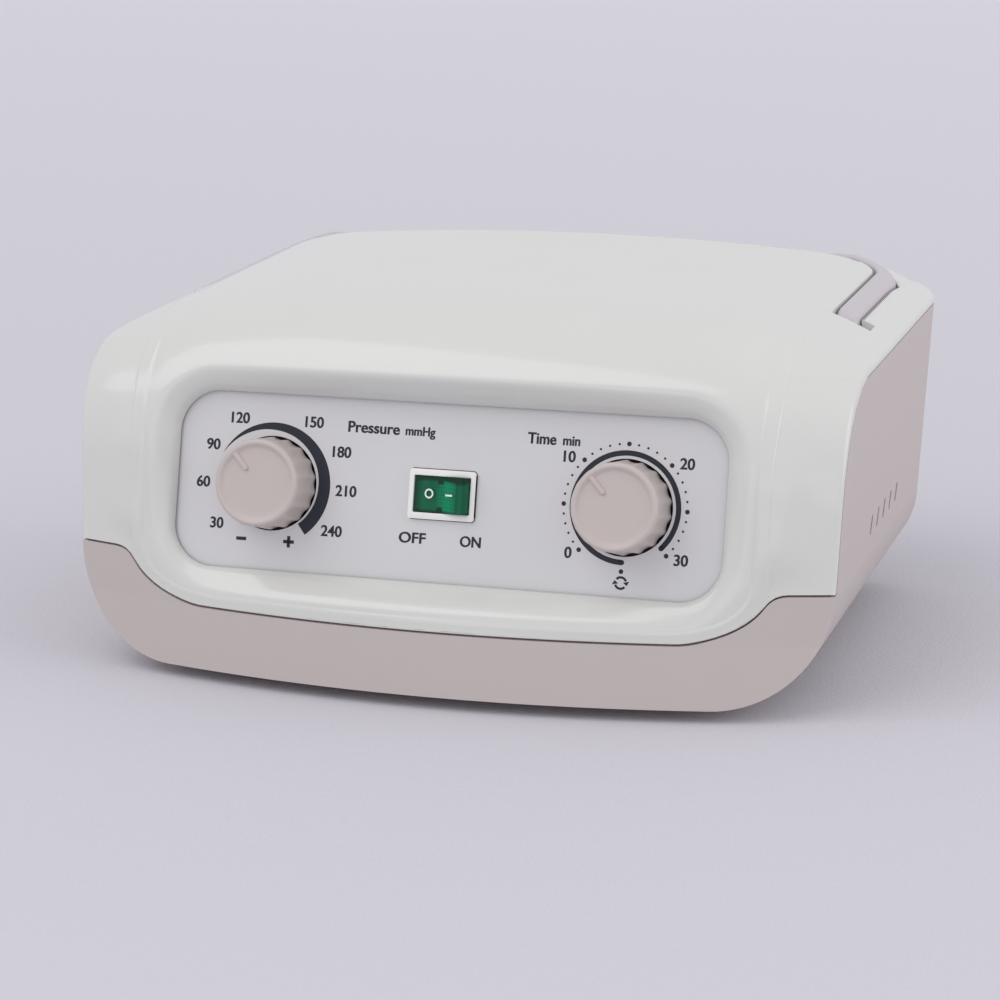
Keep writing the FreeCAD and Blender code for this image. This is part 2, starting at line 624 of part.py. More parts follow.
floorTop = size.baseHeight + size.wall
tub = lowerShell
boardPosts = [V(size.boardX + dx, size.boardY + dy)
              for dx in (size.boardInset, size.boardLong - size.boardInset)
              for dy in (size.boardInset, size.boardWide - size.boardInset)]
for at in posts:
    tub = tub.fuse(post(at, floorTop - 1, size.postJoint))
for at in boardPosts:
    tub = tub.fuse(post(at, floorTop - 1, size.boardHeight, size.boardPost))
valveAt, valveBottom = V(size.valveX, size.portMiddle), size.portHeight - size.valveTall / 2
tub = tub.fuse(post(valveAt, floorTop - 1, valveBottom, size.valveFoot)).common(outer)
for at in posts:
    tub = tub.cut(post(at, 0, size.screwSeat, size.screwHead + size.screwRoom))
    tub = tub.cut(post(at, 0, size.postJoint + 1, size.screwRadius + size.screwRoom / 2))
for at in boardPosts:
    tub = tub.cut(post(at, floorTop + 1.5, size.boardHeight + 1, size.boardScrew))
footTop = size.baseHeight + size.footSeat
for sx in (1, -1):
    for sy in (1, -1):
        tub = tub.cut(post(V(sx * size.footX, sy * size.footY), 0, footTop, size.footRadius))
ventX = sideX(size.ventHeight, size.wall / 2)
for k in range(int(size.ventCount)):
    along = size.ventPitch * k
    tub = tub.cut(slot(ventX, size.ventStart + along, size.ventHeight, size.ventTilt))
    tub = tub.cut(slot(-ventX, size.leftVentStart + along, size.ventHeight, size.ventTilt))
    tub = tub.cut(slot(size.floorVentStart + along, 0, size.baseHeight, 0, axisZ))


def rearPoint(height):
    """The point of the rear wall at the inlet's place across, at a height."""
    lean = math.tan(math.radians(size.rearLean))
    return V(size.inletX, rearMost - (size.railHeight - height) * lean, height)


rearAt, fuseAt = rearPoint(size.inletHeight), rearPoint(size.fuseHeight)
rearTurn = FreeCAD.Rotation(axisX, -90 - size.rearLean)
window = Part.makeBox(size.inletLong, size.inletTall, 40, V(-size.inletLong / 2, -size.inletTall / 2, -20))
window.Placement = FreeCAD.Placement(rearAt, rearTurn)
hole = Part.makeCylinder(size.fuseBody, 40, V(0, 0, -20))
hole.Placement = FreeCAD.Placement(fuseAt, rearTurn)
outletLow = V(-halfWidth - 5, size.portMiddle - size.outletWidth / 2, size.portHeight - size.outletTall / 2)
outletHole = Part.makeBox(20, size.outletWidth, size.outletTall, outletLow)
tub = tub.cut(window).cut(hole).cut(outletHole)
feature("lower_casing", tub)

# ---------------------------------------------------------------- control panel plate
panel = newBody()
plate = rectangle(newSketch(panel, "XY_Plane"), "openingHalf + panelMargin",
                  "-openingDown - panelMargin", "openingUp + panelMargin")
slab = pad(panel, plate, "panelThick", down=True)
roundUprights(panel, slab, "openingCorner + panelMargin")
holes = newSketch(panel, "XY_Plane")
for sign in ("", "-"):
    circle(holes, "wellRadius", f"{sign}dialOffset")
rectangle(holes, "switchLength / 2 + rockerFit", "-switchWidth / 2 - rockerFit",
          "switchWidth / 2 + rockerFit", "switchOffset")
pocket(panel, holes, "2 * panelThick")
keep("control_panel", onPanel(panel, "0"))


# ---------------------------------------------------------------- dials: well, knob, spindle, nut
def dial(name, x):
    """The pieces of one dial, about the middle of its hole in the panel."""
    back = "panelThick + wellDepth + wellFloor"
    inner, deep = "wellRadius + 2 * turnFit", "-panelThick - wellDepth"
    well = turned([("bushRadius + turnFit", f"-({back})"), ("wellFlange", f"-({back})"),
                   ("wellFlange", "-panelThick"), (inner, "-panelThick"), (inner, deep),
                   ("bushRadius + turnFit", deep)])
    keep(f"{name}_dial_well", onPanel(well, x))

    rim, floor = "knobFace - knobRim", "knobHeight - knobRecess"
    inside = "knobHeight - knobRecess - knobWall"
    knob = turned([("0", floor), (f"{rim} - rimRound", floor), (rim, "knobHeight"),
                   ("knobFace - rimRound", "knobHeight"), ("knobFace", "knobHeight - rimRound"),
                   ("knobBase", "-knobSink"),
                   ("knobBase - knobWall", "-knobSink"), ("knobFace - knobWall", inside),
                   ("hubRadius", inside), ("hubRadius", "knobSink"), ("spindleRadius + turnFit", "knobSink"),
                   ("spindleRadius + turnFit", f"{inside} - knobSink"), ("0", f"{inside} - knobSink")])
    rib = rectangle(newSketch(knob, "XY_Plane", floor, "pointerRest"),
                    "(knobFace - knobRim - ribStart) / 2", "-ribWidth / 2", "ribWidth / 2",
                    "(knobFace - knobRim + ribStart) / 2")
    pad(knob, rib, "knobRecess - ribDrop")
    flute = circle(newSketch(knob, "XY_Plane", "-2 * knobSink"), "fluteRadius",
                   "knobBase + fluteRadius - fluteDepth", "0")
    groove = pocket(knob, flute, "knobHeight", up=True)
    spin(knob, groove, "fluteCount")
    keep(f"{name}_knob", onPanel(knob, x))

    tip = f"{inside} - knobSink - turnFit"
    spindle = turned([("0", "-spindleSink"), ("spindleRadius", "-spindleSink"), ("spindleRadius", tip),
                      ("0", tip)])
    keep(f"{name}_spindle", onPanel(spindle, x))

    low, high = "-panelThick - wellDepth", "-panelThick - wellDepth + nutThick"
    nut = turned([("bushRadius", low), ("nutRadius", low), ("nutRadius", high), ("bushRadius", high)])
    keep(f"{name}_nut", onPanel(nut, x))


bushTop = "-panelThick - wellDepth + nutThick + bushProud"
behindWell = "-panelThick - wellDepth - wellFloor"


def spindleBush(body):
    """The threaded bush of a dial's mechanism, with the spindle's blind bore."""
    bush = circle(newSketch(body, "XY_Plane", behindWell), "bushRadius")
    pad(body, bush, f"{bushTop} - ({behindWell})")
    bore = circle(newSketch(body, "XY_Plane", bushTop), "spindleRadius + turnFit")
    pocket(body, bore, f"{bushTop} + spindleSink + turnFit")


dial("pressure", "-dialOffset")
dial("timer", "dialOffset")

# the pressure regulator: a round valve body with two rear nozzles and one at its side
regulator = newBody()
barrel = circle(newSketch(regulator, "XY_Plane", f"{behindWell} - regulatorLength"), "regulatorRadius")
pad(regulator, barrel, "regulatorLength")
nozzles = newSketch(regulator, "XY_Plane", f"{behindWell} - regulatorLength")
for sign in ("", "-"):
    circle(nozzles, "nozzleRadius", "0", f"{sign}regulatorRadius / 2")
pad(regulator, nozzles, "regulatorSpigot", down=True)
side = circle(newSketch(regulator, "YZ_Plane", "-regulatorRadius / 2"), "nozzleRadius", "0",
              f"{behindWell} - regulatorLength / 2")
pad(regulator, side, "regulatorRadius / 2 + sideSpigot", down=True)
spindleBush(regulator)
airways = newSketch(regulator, "XY_Plane", f"{behindWell} - regulatorLength - regulatorSpigot")
for sign in ("", "-"):
    circle(airways, "airBore", "0", f"{sign}regulatorRadius / 2")
pocket(regulator, airways, "regulatorSpigot + 2 * nozzleRadius", up=True)
keep("pressure_regulator", onPanel(regulator, "-dialOffset"))

# the timer: a square clockwork case with four tabs
timer = newBody()
case = rectangle(newSketch(timer, "XY_Plane", f"{behindWell} - timerLength"), "timerWidth / 2",
                 "-timerWidth / 2", "timerWidth / 2")
caseBlock = pad(timer, case, "timerLength")
roundUprights(timer, caseBlock, "timerCorner")
tabs = newSketch(timer, "XY_Plane", f"{behindWell} - timerLength")
for middle in ("timerWidth / 4", "-timerWidth / 4"):
    rectangle(tabs, "tabWidth / 2", f"{middle} - tabThick / 2", f"{middle} + tabThick / 2")
pad(timer, tabs, "tabLength", down=True)
spindleBush(timer)
keep("timer_mechanism", onPanel(timer, "dialOffset"))

# ---------------------------------------------------------------- rocker switch
housing = newBody()
bezel = rectangle(newSketch(housing, "XY_Plane"), "bezelLength / 2", "-bezelWidth / 2", "bezelWidth / 2")
bezelPad = pad(housing, bezel, "bezelHeight")
roundUprights(housing, bezelPad, "bezelCorner")
switchCase = rectangle(newSketch(housing, "XY_Plane"), "switchLength / 2", "-switchWidth / 2",
                       "switchWidth / 2")
pad(housing, switchCase, "switchDepth", down=True)
wellBox = rectangle(newSketch(housing, "XY_Plane", "bezelHeight"), "rockerLength / 2 + rockerFit",
                    "-rockerWidth / 2 - rockerFit", "rockerWidth / 2 + rockerFit")
pocket(housing, wellBox, "bezelHeight + switchWell")
socketPlane = newSketch(housing, "XZ_Plane", "trunnionWall - switchWidth / 2")
sockets = circle(socketPlane, "trunnionRadius + turnFit", "0", "-rockerPivot")
pocket(housing, sockets, "switchWidth - 2 * trunnionWall", up=True)
keep("switch_housing", onPanel(housing, "switchOffset"))

rockerForm = newBody()
rise = "(rockerLength / 2) * tan(rockerTilt)"
vee = polygon(newSketch(rockerForm, "XZ_Plane", "-rockerWidth / 2", "rockerTilt"),
              [("0", "rockerTop"), ("-rockerLength", f"rockerTop + 2 * {rise}"),
               ("-rockerLength", "-rockerKeel / 2"), ("-rockerLength / 4", "-rockerKeel"),
               ("rockerLength / 4", "-rockerKeel"), ("rockerLength", "-rockerKeel / 2"),
               ("rockerLength", f"rockerTop + 2 * {rise}")])
pad(rockerForm, vee, "rockerWidth")
ends = cylinder("rockerLength / 2", "rockerWidth", "0", "-rockerWidth / 2", "0", "y")
trunnionStart = "1.5 * trunnionWall - switchWidth / 2"
trunnions = cylinder("trunnionRadius", f"-2 * ({trunnionStart})", "0", trunnionStart, "0", "y")
common = doc.addObject("Part::MultiCommon", "Ends")
common.Shapes = [rockerForm, ends]
rocker = fuse(common, trunnions)
place(rocker, "switchOffset", f"{panelY} + rockerPivot * cos(panelLean)",
      "panelHeight - rockerPivot * sin(panelLean)", axisX, "90 - panelLean")
keep("switch_rocker", rocker)

blades = newBody()
bladeSketch = newSketch(blades, "XY_Plane", "-switchDepth")
for x in ("-bladePitch", "0", "bladePitch"):
    rectangle(bladeSketch, "tabThick / 2", "-tabWidth / 2", "tabWidth / 2", x)
pad(blades, bladeSketch, "tabLength", down=True)
keep("switch_terminals", onPanel(blades, "switchOffset"))

# ---------------------------------------------------------------- carrying handle
handle = uPrism(-size.handleFit, size.handleRearGap).common(crownSolid(-size.handleProud))
handle = handle.cut(crownSolid(size.handleThick))
behindPivot = Part.makeBox(2 * size.caseWidth, size.caseDepth, size.crownHeight - size.rearDrop)
behindPivot.translate(V(-size.caseWidth, pivotY, 0))
handle = handle.common(behindPivot)
armIn, armOut = size.lidHalf + size.handleFit, notchX - size.handleFit


def eye(side):
    """The round end of an arm, about the pin."""
    start = V(side * armIn, pivotY, size.pivotHeight)
    knuckle = Part.makeCylinder(eyeRadius, armOut - armIn, start, axisX * side)
    return knuckle.common(crownSolid(-size.handleProud))


def eyeBore(side):
    start = V(side * size.lidHalf, pivotY, size.pivotHeight)
    return Part.makeCylinder(size.pinRadius + size.pinFit, size.channelWidth, start, axisX * side)


handle = handle.fuse(both(eye)).cut(both(eyeBore))
feature("carry_handle", handle.removeSplitter())

capLow = "pivotHeight - pinRadius - notchDrop"
capLength, capX = "notchWidth - handleFit / 2", "lidHalf + channelWidth + handleFit / 2"
capTall = "2 * pinRadius + notchDrop + handleFit / 2"
caps = [box(capLength, "notchLength - handleFit", capTall, x, pinY, capLow, middle="y")
        for x in (capX, f"-({capX}) - ({capLength})")]
keep("pivot_caps", cut(group(*caps), pins))

# ---------------------------------------------------------------- feet and casing screws
corners = [(f"{sx}footX", f"{sy}footY") for sx in ("", "-") for sy in ("", "-")]
keep("rubber_feet", group(*[cylinder("footRadius", "baseHeight + footSeat", x, y) for x, y in corners]))
screwPlaces = [(f"{sign}{end}PostX", f"{end}PostY") for end in ("front", "rear") for sign in ("", "-")]
headLow, headMiddle = "screwSeat - screwHeadTall", "screwSeat - screwHeadTall / 2"
screws = []
for x, y in screwPlaces:
    head = cylinder("screwHead", "screwHeadTall", x, y, headLow)
    shank = cylinder("screwRadius", "screwLength + screwHeadTall / 2", x, y, headMiddle)
    drive = box("1.5 * screwHead", "driveWidth", "driveDepth", x, y, headLow, middle="xy")
    screws.append(cut(fuse(head, shank), drive))
keep("casing_screws", group(*screws))

# ---------------------------------------------------------------- air outlet block and distributor
outletX = "runGap - caseWidth / 2 + (railHeight - portHeight) * tan(sideDraft)"
valveFace = "valveX - valveWidth / 2"
ports = [f"portMiddle + {k} * portPitch" for k in (-1.5, -0.5, 0.5, 1.5)]


def atPorts(radius, length, x):
    """One cylinder along X at each of the four air ports."""
    return [cylinder(radius, length, x, y, "portHeight", "x") for y in ports]


blockBody = box("outletDepth", "outletWidth - runGap", "outletTall - runGap", outletX, "portMiddle",
                "portHeight", middle="yz")
flange = box("wall", "outletWidth + 3 * wall", "outletTall + 3 * wall", f"{outletX} + wall + runGap",
             "portMiddle", "portHeight", middle="yz")
spigots = atPorts("nozzleRadius", "spigotLength", f"{outletX} + outletDepth")
mouths = atPorts("portRadius", "portDepth", outletX)
airways = atPorts("airBore", "outletDepth + 2 * spigotLength", outletX)
keep("air_outlet_block", cut(fuse(blockBody, flange, *spigots), *mouths, *airways))

valveLow, valveHigh = "portHeight - valveTall / 2", "portHeight + valveTall / 2"
cupTop = f"{valveHigh} + rotorThick + 2 * runGap"
valveBlock = box("valveWidth", "valveWidth", "valveTall", "valveX", "portMiddle", valveLow, middle="xy")
cup = cut(cylinder("motorRadius", "rotorThick + 2 * runGap", "valveX", "portMiddle", valveHigh),
          cylinder("rotorRadius + runGap", "2 * rotorThick", "valveX", "portMiddle", valveHigh))
valveSpigots = atPorts("nozzleRadius", "spigotLength", f"{valveFace} - spigotLength")
inletEnd = "portMiddle - valveWidth / 2 - inletSpigot"
inlet = cylinder("nozzleRadius", "inletSpigot", "valveX", inletEnd, "portHeight", "y")
sideBores = atPorts("airBore", "2 * spigotLength", f"{valveFace} - spigotLength")
inletBore = cylinder("airBore", "2 * inletSpigot", "valveX", inletEnd, "portHeight", "y")
keep("distributor_body", cut(fuse(valveBlock, cup, inlet, *valveSpigots), inletBore, *sideBores))

rotor = newBody()
disc = circle(newSketch(rotor, "XY_Plane"), "rotorRadius")
pad(rotor, disc, "rotorThick")
throughs = circle(newSketch(rotor, "XY_Plane"), "nozzleRadius")
circle(throughs, "airBore", "rotorPort")
pocket(rotor, throughs, "rotorThick", up=True)
rotorLow = f"{valveHigh} + runGap"
keep("distributor_rotor", place(rotor, "valveX", "portMiddle", rotorLow))
keep("distributor_shaft", cylinder("nozzleRadius", "motorTall", "valveX", "portMiddle", rotorLow))
motor = cut(cylinder("motorRadius", "motorTall", "valveX", "portMiddle", cupTop),
            cylinder("nozzleRadius + turnFit", "motorTall - motorCap", "valveX", "portMiddle", cupTop))
keep("distributor_motor", motor)
tubeX = f"{valveFace} - outletTube - turnFit"
tubes = [cut(*pair) for pair in zip(atPorts("nozzleRadius + turnFit + tubeWall", "outletTube", tubeX),
                                    atPorts("nozzleRadius + turnFit", "outletTube", tubeX))]
keep("outlet_tubes", group(*tubes))

# ---------------------------------------------------------------- air pump
# A rod with two magnets shuttles between two iron cores and works a diaphragm at each end.
baseLow = "pumpZ - headSize / 2 - 1"
baseTop = f"{baseLow} + baseThick"
membraneAt = "baseLong / 2"
headAt = f"({membraneAt} + membraneThick)"
pistonIn = f"({membraneAt} - strokeRoom - pistonThick)"
pistonOut = f"({headAt} + strokeRoom)"
rodHalf = f"({pistonOut} + pistonThick)"
sides = ("", "-")


def pumpRod(radius, length, start):
    """A cylinder on the rod's axis, from start along X, counted from the pump's middle."""
    return cylinder(radius, length, f"pumpX + {start}", "pumpY", "pumpZ", "x")


def mirrored(start, length):
    """The two starts, right and left, of a piece of that length on the rod's axis."""
    return start, f"(-({start}) - ({length}))"


def washers(radius, bore, length, starts):
    return [cut(pumpRod(radius, length, at), pumpRod(bore, length, at)) for at in starts]


base = box("baseLong", "baseWide", "baseThick", "pumpX", "pumpY", baseLow, middle="xy")
wallTall = f"pumpZ + headSize / 2 - ({baseTop})"
endWalls = [cut(box("endPlate", "headSize", wallTall, f"pumpX + {at}", "pumpY", baseTop, middle="y"),
                pumpRod("chamberRadius", "endPlate", at))
            for at in mirrored(f"({membraneAt} - endPlate)", "endPlate")]
shelves = [box("coreLong", "shelfThick", f"pumpZ - coreTall / 2 - ({baseTop})", "pumpX",
               f"pumpY + {sign}(coreGap + coreDeep - shelfThick / 2)", baseTop, middle="xy")
           for sign in sides]
keep("pump_frame", fuse(base, *endWalls, *shelves))


def pumpBlock(length, width, height, y="0"):
    """A box about the rod's axis, y from the pump's middle."""
    return box(length, width, height, "pumpX", f"pumpY + {y}", "pumpZ", middle="xyz")


coreY = [f"{sign}(coreGap + coreDeep / 2)" for sign in sides]
coilY = [f"{sign}(coreGap + coreDeep / 2 - 1)" for sign in sides]
keep("pump_cores", group(*[pumpBlock("coreLong", "coreDeep", "coreTall", y) for y in coreY]))
coils = [cut(pumpBlock("coreLong + 2 * coilThick", "coreDeep - coilCover", "coreTall + 2 * coilThick", y),
             pumpBlock("coreLong + 2 * turnFit", "coreDeep", "coreTall + 2 * turnFit", y)) for y in coilY]
keep("pump_coils", group(*coils))

keep("pump_rod", pumpRod("rodRadius", f"2 * {rodHalf}", f"(-{rodHalf})"))
magnet = pumpBlock("magnetLong", "2 * (coreGap - magnetGap)", "magnetTall")
keep("pump_magnets", cut(magnet, pumpRod("rodRadius", "magnetLong", "(-magnetLong / 2)")))
pistonStarts = mirrored(pistonIn, "pistonThick") + mirrored(pistonOut, "pistonThick")
keep("pump_pistons", group(*washers("pistonRadius", "rodRadius", "pistonThick", pistonStarts)))
keep("pump_diaphragms", group(*washers("headSize / 2 - membraneEdge", "rodRadius + runGap", "membraneThick",
                                       mirrored(membraneAt, "membraneThick"))))

for name, start, chamberStart in zip(("right", "left"), mirrored(headAt, "headLong"),
                                     mirrored(headAt, "headLong - headFloor")):
    middleX = f"pumpX + {start} + headLong / 2"
    head = box("headLong", "headSize", "headSize", f"pumpX + {start}", "pumpY", "pumpZ", middle="yz")
    chamber = pumpRod("chamberRadius", "headLong - headFloor", chamberStart)
    spout = cylinder("nozzleRadius", "pumpSpout", middleX, "pumpY", "pumpZ + headSize / 2")
    duct = cylinder("airBore", "headSize / 2 - chamberRadius + pumpSpout + 2", middleX, "pumpY",
                    "pumpZ + chamberRadius - 2")
    keep(f"{name}_pump_head", cut(fuse(head, spout), chamber, duct))
    keep(f"{name}_intake_filter", cylinder("filterRadius", "filterTall", middleX, "pumpY + headSize / 3",
                                           "pumpZ + headSize / 2"))
mountLow = "baseHeight + wall"
mounts = [cylinder("mountRadius", f"{baseLow} - ({mountLow})", f"pumpX + {sx}(baseLong / 2 - mountInset)",
                   f"pumpY + {sy}(baseWide / 2 - mountInset)", mountLow) for sx in sides for sy in sides]
keep("pump_mounts", group(*mounts))

# ---------------------------------------------------------------- hoses inside the casing
tubeInner = size.nozzleRadius + size.turnFit
tubeOuter = tubeInner + size.tubeWall
runGap = size.runGap
wellBack = -(size.panelThick + size.wellDepth + size.wellFloor)
spigotFace = wellBack - size.regulatorLength - runGap
headX = size.baseLong / 2 + size.membraneThick + size.headLong / 2
headTop = size.pumpZ + size.headSize / 2


def hose(label, points):
    """A hose along straight runs and round bends, open at both ends."""
    outside, bore = (swept(points, radius, size.hoseBend) for radius in (tubeOuter, tubeInner))
    return feature(label, outside.cut(bore))


def fromPanel(x, up, out):
    """The point at x, up along the panel and out of its face."""
    return panelPlace.multVec(V(x, up, out))


def spoutX(side):
    return size.pumpX + side * headX


def pumpHose(label, side, up, straight, x, back):
    """From one of the regulator's rear spigots, over a corner at x, to the spout of a pump head."""
    high = size.crownHeight - size.hoseDrop
    start, turn = (fromPanel(-size.dialOffset, size.regulatorRadius / 2 * up, spigotFace - run)
                   for run in (0, straight))
    hose(label, [start, turn, V(x, turn.y + back, high), V(spoutX(side), size.pumpY, high),
                 V(spoutX(side), size.pumpY, headTop + runGap)])


pumpHose("left_pump_hose", -1, 1, 18.5, -size.dialOffset, size.leftHoseBack)
pumpHose("right_pump_hose", 1, -1, 23.5, spoutX(1) - size.rightHoseInset, size.rightHoseBack)
sideX0 = -size.dialOffset - size.regulatorRadius - runGap
sideStart = fromPanel(sideX0, 0, wellBack - size.regulatorLength / 2)
valveIn = V(size.valveX, size.portMiddle - size.valveWidth / 2 - runGap, size.portHeight)
hose("regulator_hose", [sideStart, V(valveIn.x, sideStart.y, sideStart.z), valveIn])

# ---------------------------------------------------------------- mains inlet and fuse
inletBody = newBody()
rim = rectangle(newSketch(inletBody, "XY_Plane"), "inletLong / 2 + inletRim", "-inletTall / 2 - inletRim",
                "inletTall / 2 + inletRim")
roundUprights(inletBody, pad(inletBody, rim, "inletFlange"), "inletRim")
inletCase = rectangle(newSketch(inletBody, "XY_Plane"), "(inletLong - runGap) / 2",
                      "(runGap - inletTall) / 2", "(inletTall - runGap) / 2")
pad(inletBody, inletCase, "inletDeep", down=True)
shroud = rectangle(newSketch(inletBody, "XY_Plane", "inletFlange"), "shroudLong / 2", "-shroudTall / 2",
                   "shroudTall / 2")
pocket(inletBody, shroud, "shroudDeep")
contactPlaces = (("-shroudLong / 4", "shroudTall / 8"), ("shroudLong / 4", "shroudTall / 8"),
                 ("0", "-shroudTall / 8"))


def contactOutlines(body, height):
    """The three contacts' outlines, sketched in a body at a height."""
    sketch = newSketch(body, "XY_Plane", height)
    for x, y in contactPlaces:
        rectangle(sketch, "contactThick / 2", f"{y} - contactWide / 2", f"{y} + contactWide / 2", x)
    return sketch


pocket(inletBody, contactOutlines(inletBody, "inletFlange"), "inletDeep + inletFlange")
keep("mains_inlet", onRear(inletBody, "inletX", "inletHeight"))
contacts, contactTip = newBody(), "inletFlange - shroudDeep + contactLong"
pad(contacts, contactOutlines(contacts, contactTip), f"{contactTip} + inletDeep + contactTail", down=True)
keep("inlet_contacts", onRear(contacts, "inletX", "inletHeight"))

fuseBore, fuseFloor = "fuseBody - fuseWall", "fuseWall - fuseDeep"
holder = turned([(fuseBore, "inletFlange"), ("fuseFlange", "inletFlange"), ("fuseFlange", "0"),
                 ("fuseBody", "0"), ("fuseBody", "-fuseDeep"), ("0", "-fuseDeep"), ("0", fuseFloor),
                 (fuseBore, fuseFloor)])
keep("fuse_holder", onRear(holder, "inletX", "fuseHeight"))
capLow, capHigh, plug = "inletFlange - capDeep", "inletFlange + capProud", f"{fuseBore} - turnFit"
capBody = turned([("0", capLow), (plug, capLow), (plug, "inletFlange"), ("fuseBody", "inletFlange"),
                  ("fuseBody", capHigh), ("0", capHigh)])
coinSlot = rectangle(newSketch(capBody, "XY_Plane", capHigh), plug, "-driveWidth / 2", "driveWidth / 2")
pocket(capBody, coinSlot, "driveDepth")
keep("fuse_cap", onRear(capBody, "inletX", "fuseHeight"))
fuseLink = turned([("0", fuseFloor), ("fuseRadius", fuseFloor), ("fuseRadius", capLow), ("0", capLow)])
keep("fuse", onRear(fuseLink, "inletX", "fuseHeight"))

# ---------------------------------------------------------------- circuit board and what stands on it
board = newBody()
boardCorners = [("0", "0"), ("boardLong", "0"), ("boardLong", "boardWide"), ("0", "boardWide")]
boardOutline = polygon(newSketch(board, "XY_Plane"), boardCorners)
pad(board, boardOutline, "boardThick")
drill = newSketch(board, "XY_Plane")
drillPlaces = [(x, y) for x in ("boardInset", "boardLong - boardInset")
               for y in ("boardInset", "boardWide - boardInset")]
for x, y in drillPlaces:
    circle(drill, "boardScrew + turnFit", x, y)
pocket(board, drill, "boardThick", up=True)
keep("circuit_board", place(board, "boardX", "boardY", "boardHeight"))
boardTop = "boardHeight + boardThick"
boardScrews = []
for x, y in drillPlaces:
    at = f"boardX + {x}", f"boardY + {y}"
    head = cylinder("2 * boardScrew", "boardThick", *at, boardTop)
    shank = cylinder("boardScrew", "4 * boardThick", *at, f"{boardTop} - 4 * boardThick")
    boardScrews.append(fuse(head, shank))
keep("board_screws", group(*boardScrews))



def onBoard(length, width, height, x, y, lift="0"):
    """A box on the circuit board, about x, y and lifted off it."""
    return box(length, width, height, x, y, f"{boardTop} + {lift}", middle="xy")


windowAt, windowTall = "(windowWide / 2 + coreLimb)", "(coreWide - 2 * coreLimb)"
windows = [onBoard("windowWide", "2 * coreWide", windowTall, f"coreX + {sign}{windowAt}", "coreY", "coreLimb")
           for sign in sides]
keep("transformer_core", cut(onBoard("coreSide", "coreWide", "coreWide", "coreX", "coreY"), *windows))
windingTall, lift = f"{windowTall} - 2 * turnFit", "coreLimb + turnFit"
around = onBoard(f"2 * ({windowAt} + windowWide / 2 - turnFit)", "coreWide + 2 * coreLimb", windingTall,
                 "coreX", "coreY", lift)
through = onBoard(f"2 * ({windowAt} - windowWide / 2 + turnFit)", "coreWide + 2 * turnFit", windingTall,
                  "coreX", "coreY", lift)
keep("transformer_winding", cut(around, through))
keep("capacitors", group(*[cylinder("capacitorRadius", "capacitorTall", x, "partsY", boardTop)
                           for x in ("firstCapacitorX", "secondCapacitorX")]))
keep("relay", onBoard("relayLong", "relayWide", "relayTall", "relayX", "partsY"))
keep("terminal_block", onBoard("terminalLong", "terminalWide", "terminalLong", "terminalX", "coreY"))

# two wires from the inlet's tabs over to the switch
leads = []
contactEnd = -size.inletDeep - size.contactTail - runGap
for k, (side, blade) in enumerate(((-1, -size.bladePitch), (1, 0))):
    out = V(side * size.shroudLong / 4, size.shroudTall / 8, contactEnd)
    start, leave = (rearAt + rearTurn.multVec(out + V(0, 0, -back)) for back in (0, 8))
    end, arrive = (fromPanel(size.switchOffset + blade, 0, -size.switchDepth - size.tabLength - back)
                   for back in (runGap, 9))
    high = V(size.inletX - size.leadInset - 2 * k, leave.y - size.leadRun - 4 * k,
             size.crownHeight - size.leadRise + 4 * k)
    spread = V(blade + 14, arrive.y + 12 - 2 * k, high.z - 8 - 4 * k)
    leads.append(swept([start, leave, high, spread, arrive, end], size.leadRadius, size.leadBend))
feature("mains_leads", Part.makeCompound(leads))

# ---------------------------------------------------------------- check and write
doc.recompute()
for item in doc.Objects:
    if {"Invalid", "Error"} & set(item.State):
        raise RuntimeError(f"{item.Label} failed: {item.State}")
for name, item in nodes.items():
    if item.Shape.isNull() or not item.Shape.isValid():
        raise RuntimeError(f"{name} has no valid shape")
os.makedirs("parts", exist_ok=True)
for name, item in nodes.items():
    item.Shape.exportStep(f"parts/{name}.step")
    print(name, len(item.Shape.Solids), round(item.Shape.Volume))
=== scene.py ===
import math
import bpy
from mathutils import Matrix, Vector


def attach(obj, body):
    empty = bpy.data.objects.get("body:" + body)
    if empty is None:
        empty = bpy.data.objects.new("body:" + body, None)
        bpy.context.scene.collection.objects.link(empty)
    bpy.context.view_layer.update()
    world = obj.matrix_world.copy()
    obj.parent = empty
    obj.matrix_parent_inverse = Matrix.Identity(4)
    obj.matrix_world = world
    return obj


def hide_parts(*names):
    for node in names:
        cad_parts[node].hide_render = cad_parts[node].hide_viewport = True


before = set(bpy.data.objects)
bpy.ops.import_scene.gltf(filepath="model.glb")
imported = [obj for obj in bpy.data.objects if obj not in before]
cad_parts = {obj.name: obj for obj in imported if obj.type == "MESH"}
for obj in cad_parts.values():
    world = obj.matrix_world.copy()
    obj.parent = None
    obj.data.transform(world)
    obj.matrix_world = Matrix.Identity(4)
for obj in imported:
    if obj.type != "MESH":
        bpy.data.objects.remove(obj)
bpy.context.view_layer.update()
scene = bpy.context.scene
mm = 0.001
print("frame loaded")


# small modelling helpers
def deselectAll():
    if bpy.context.object and bpy.context.object.mode != "OBJECT":
        bpy.ops.object.mode_set(mode="OBJECT")
    bpy.ops.object.select_all(action="DESELECT")


def choose(*pieces):
    deselectAll()
    for piece in pieces:
        piece.select_set(True)
    bpy.context.view_layer.objects.active = pieces[0]


def smooth(share):
    share = max(0, min(1, share))
    return share * share * (3 - 2 * share)


def ramp(value, start, over):
    # a smooth rise from 0 at start to 1 behind the way over
    return smooth((value - start) / over)


def blend(low, high, share):
    return low + (high - low) * share


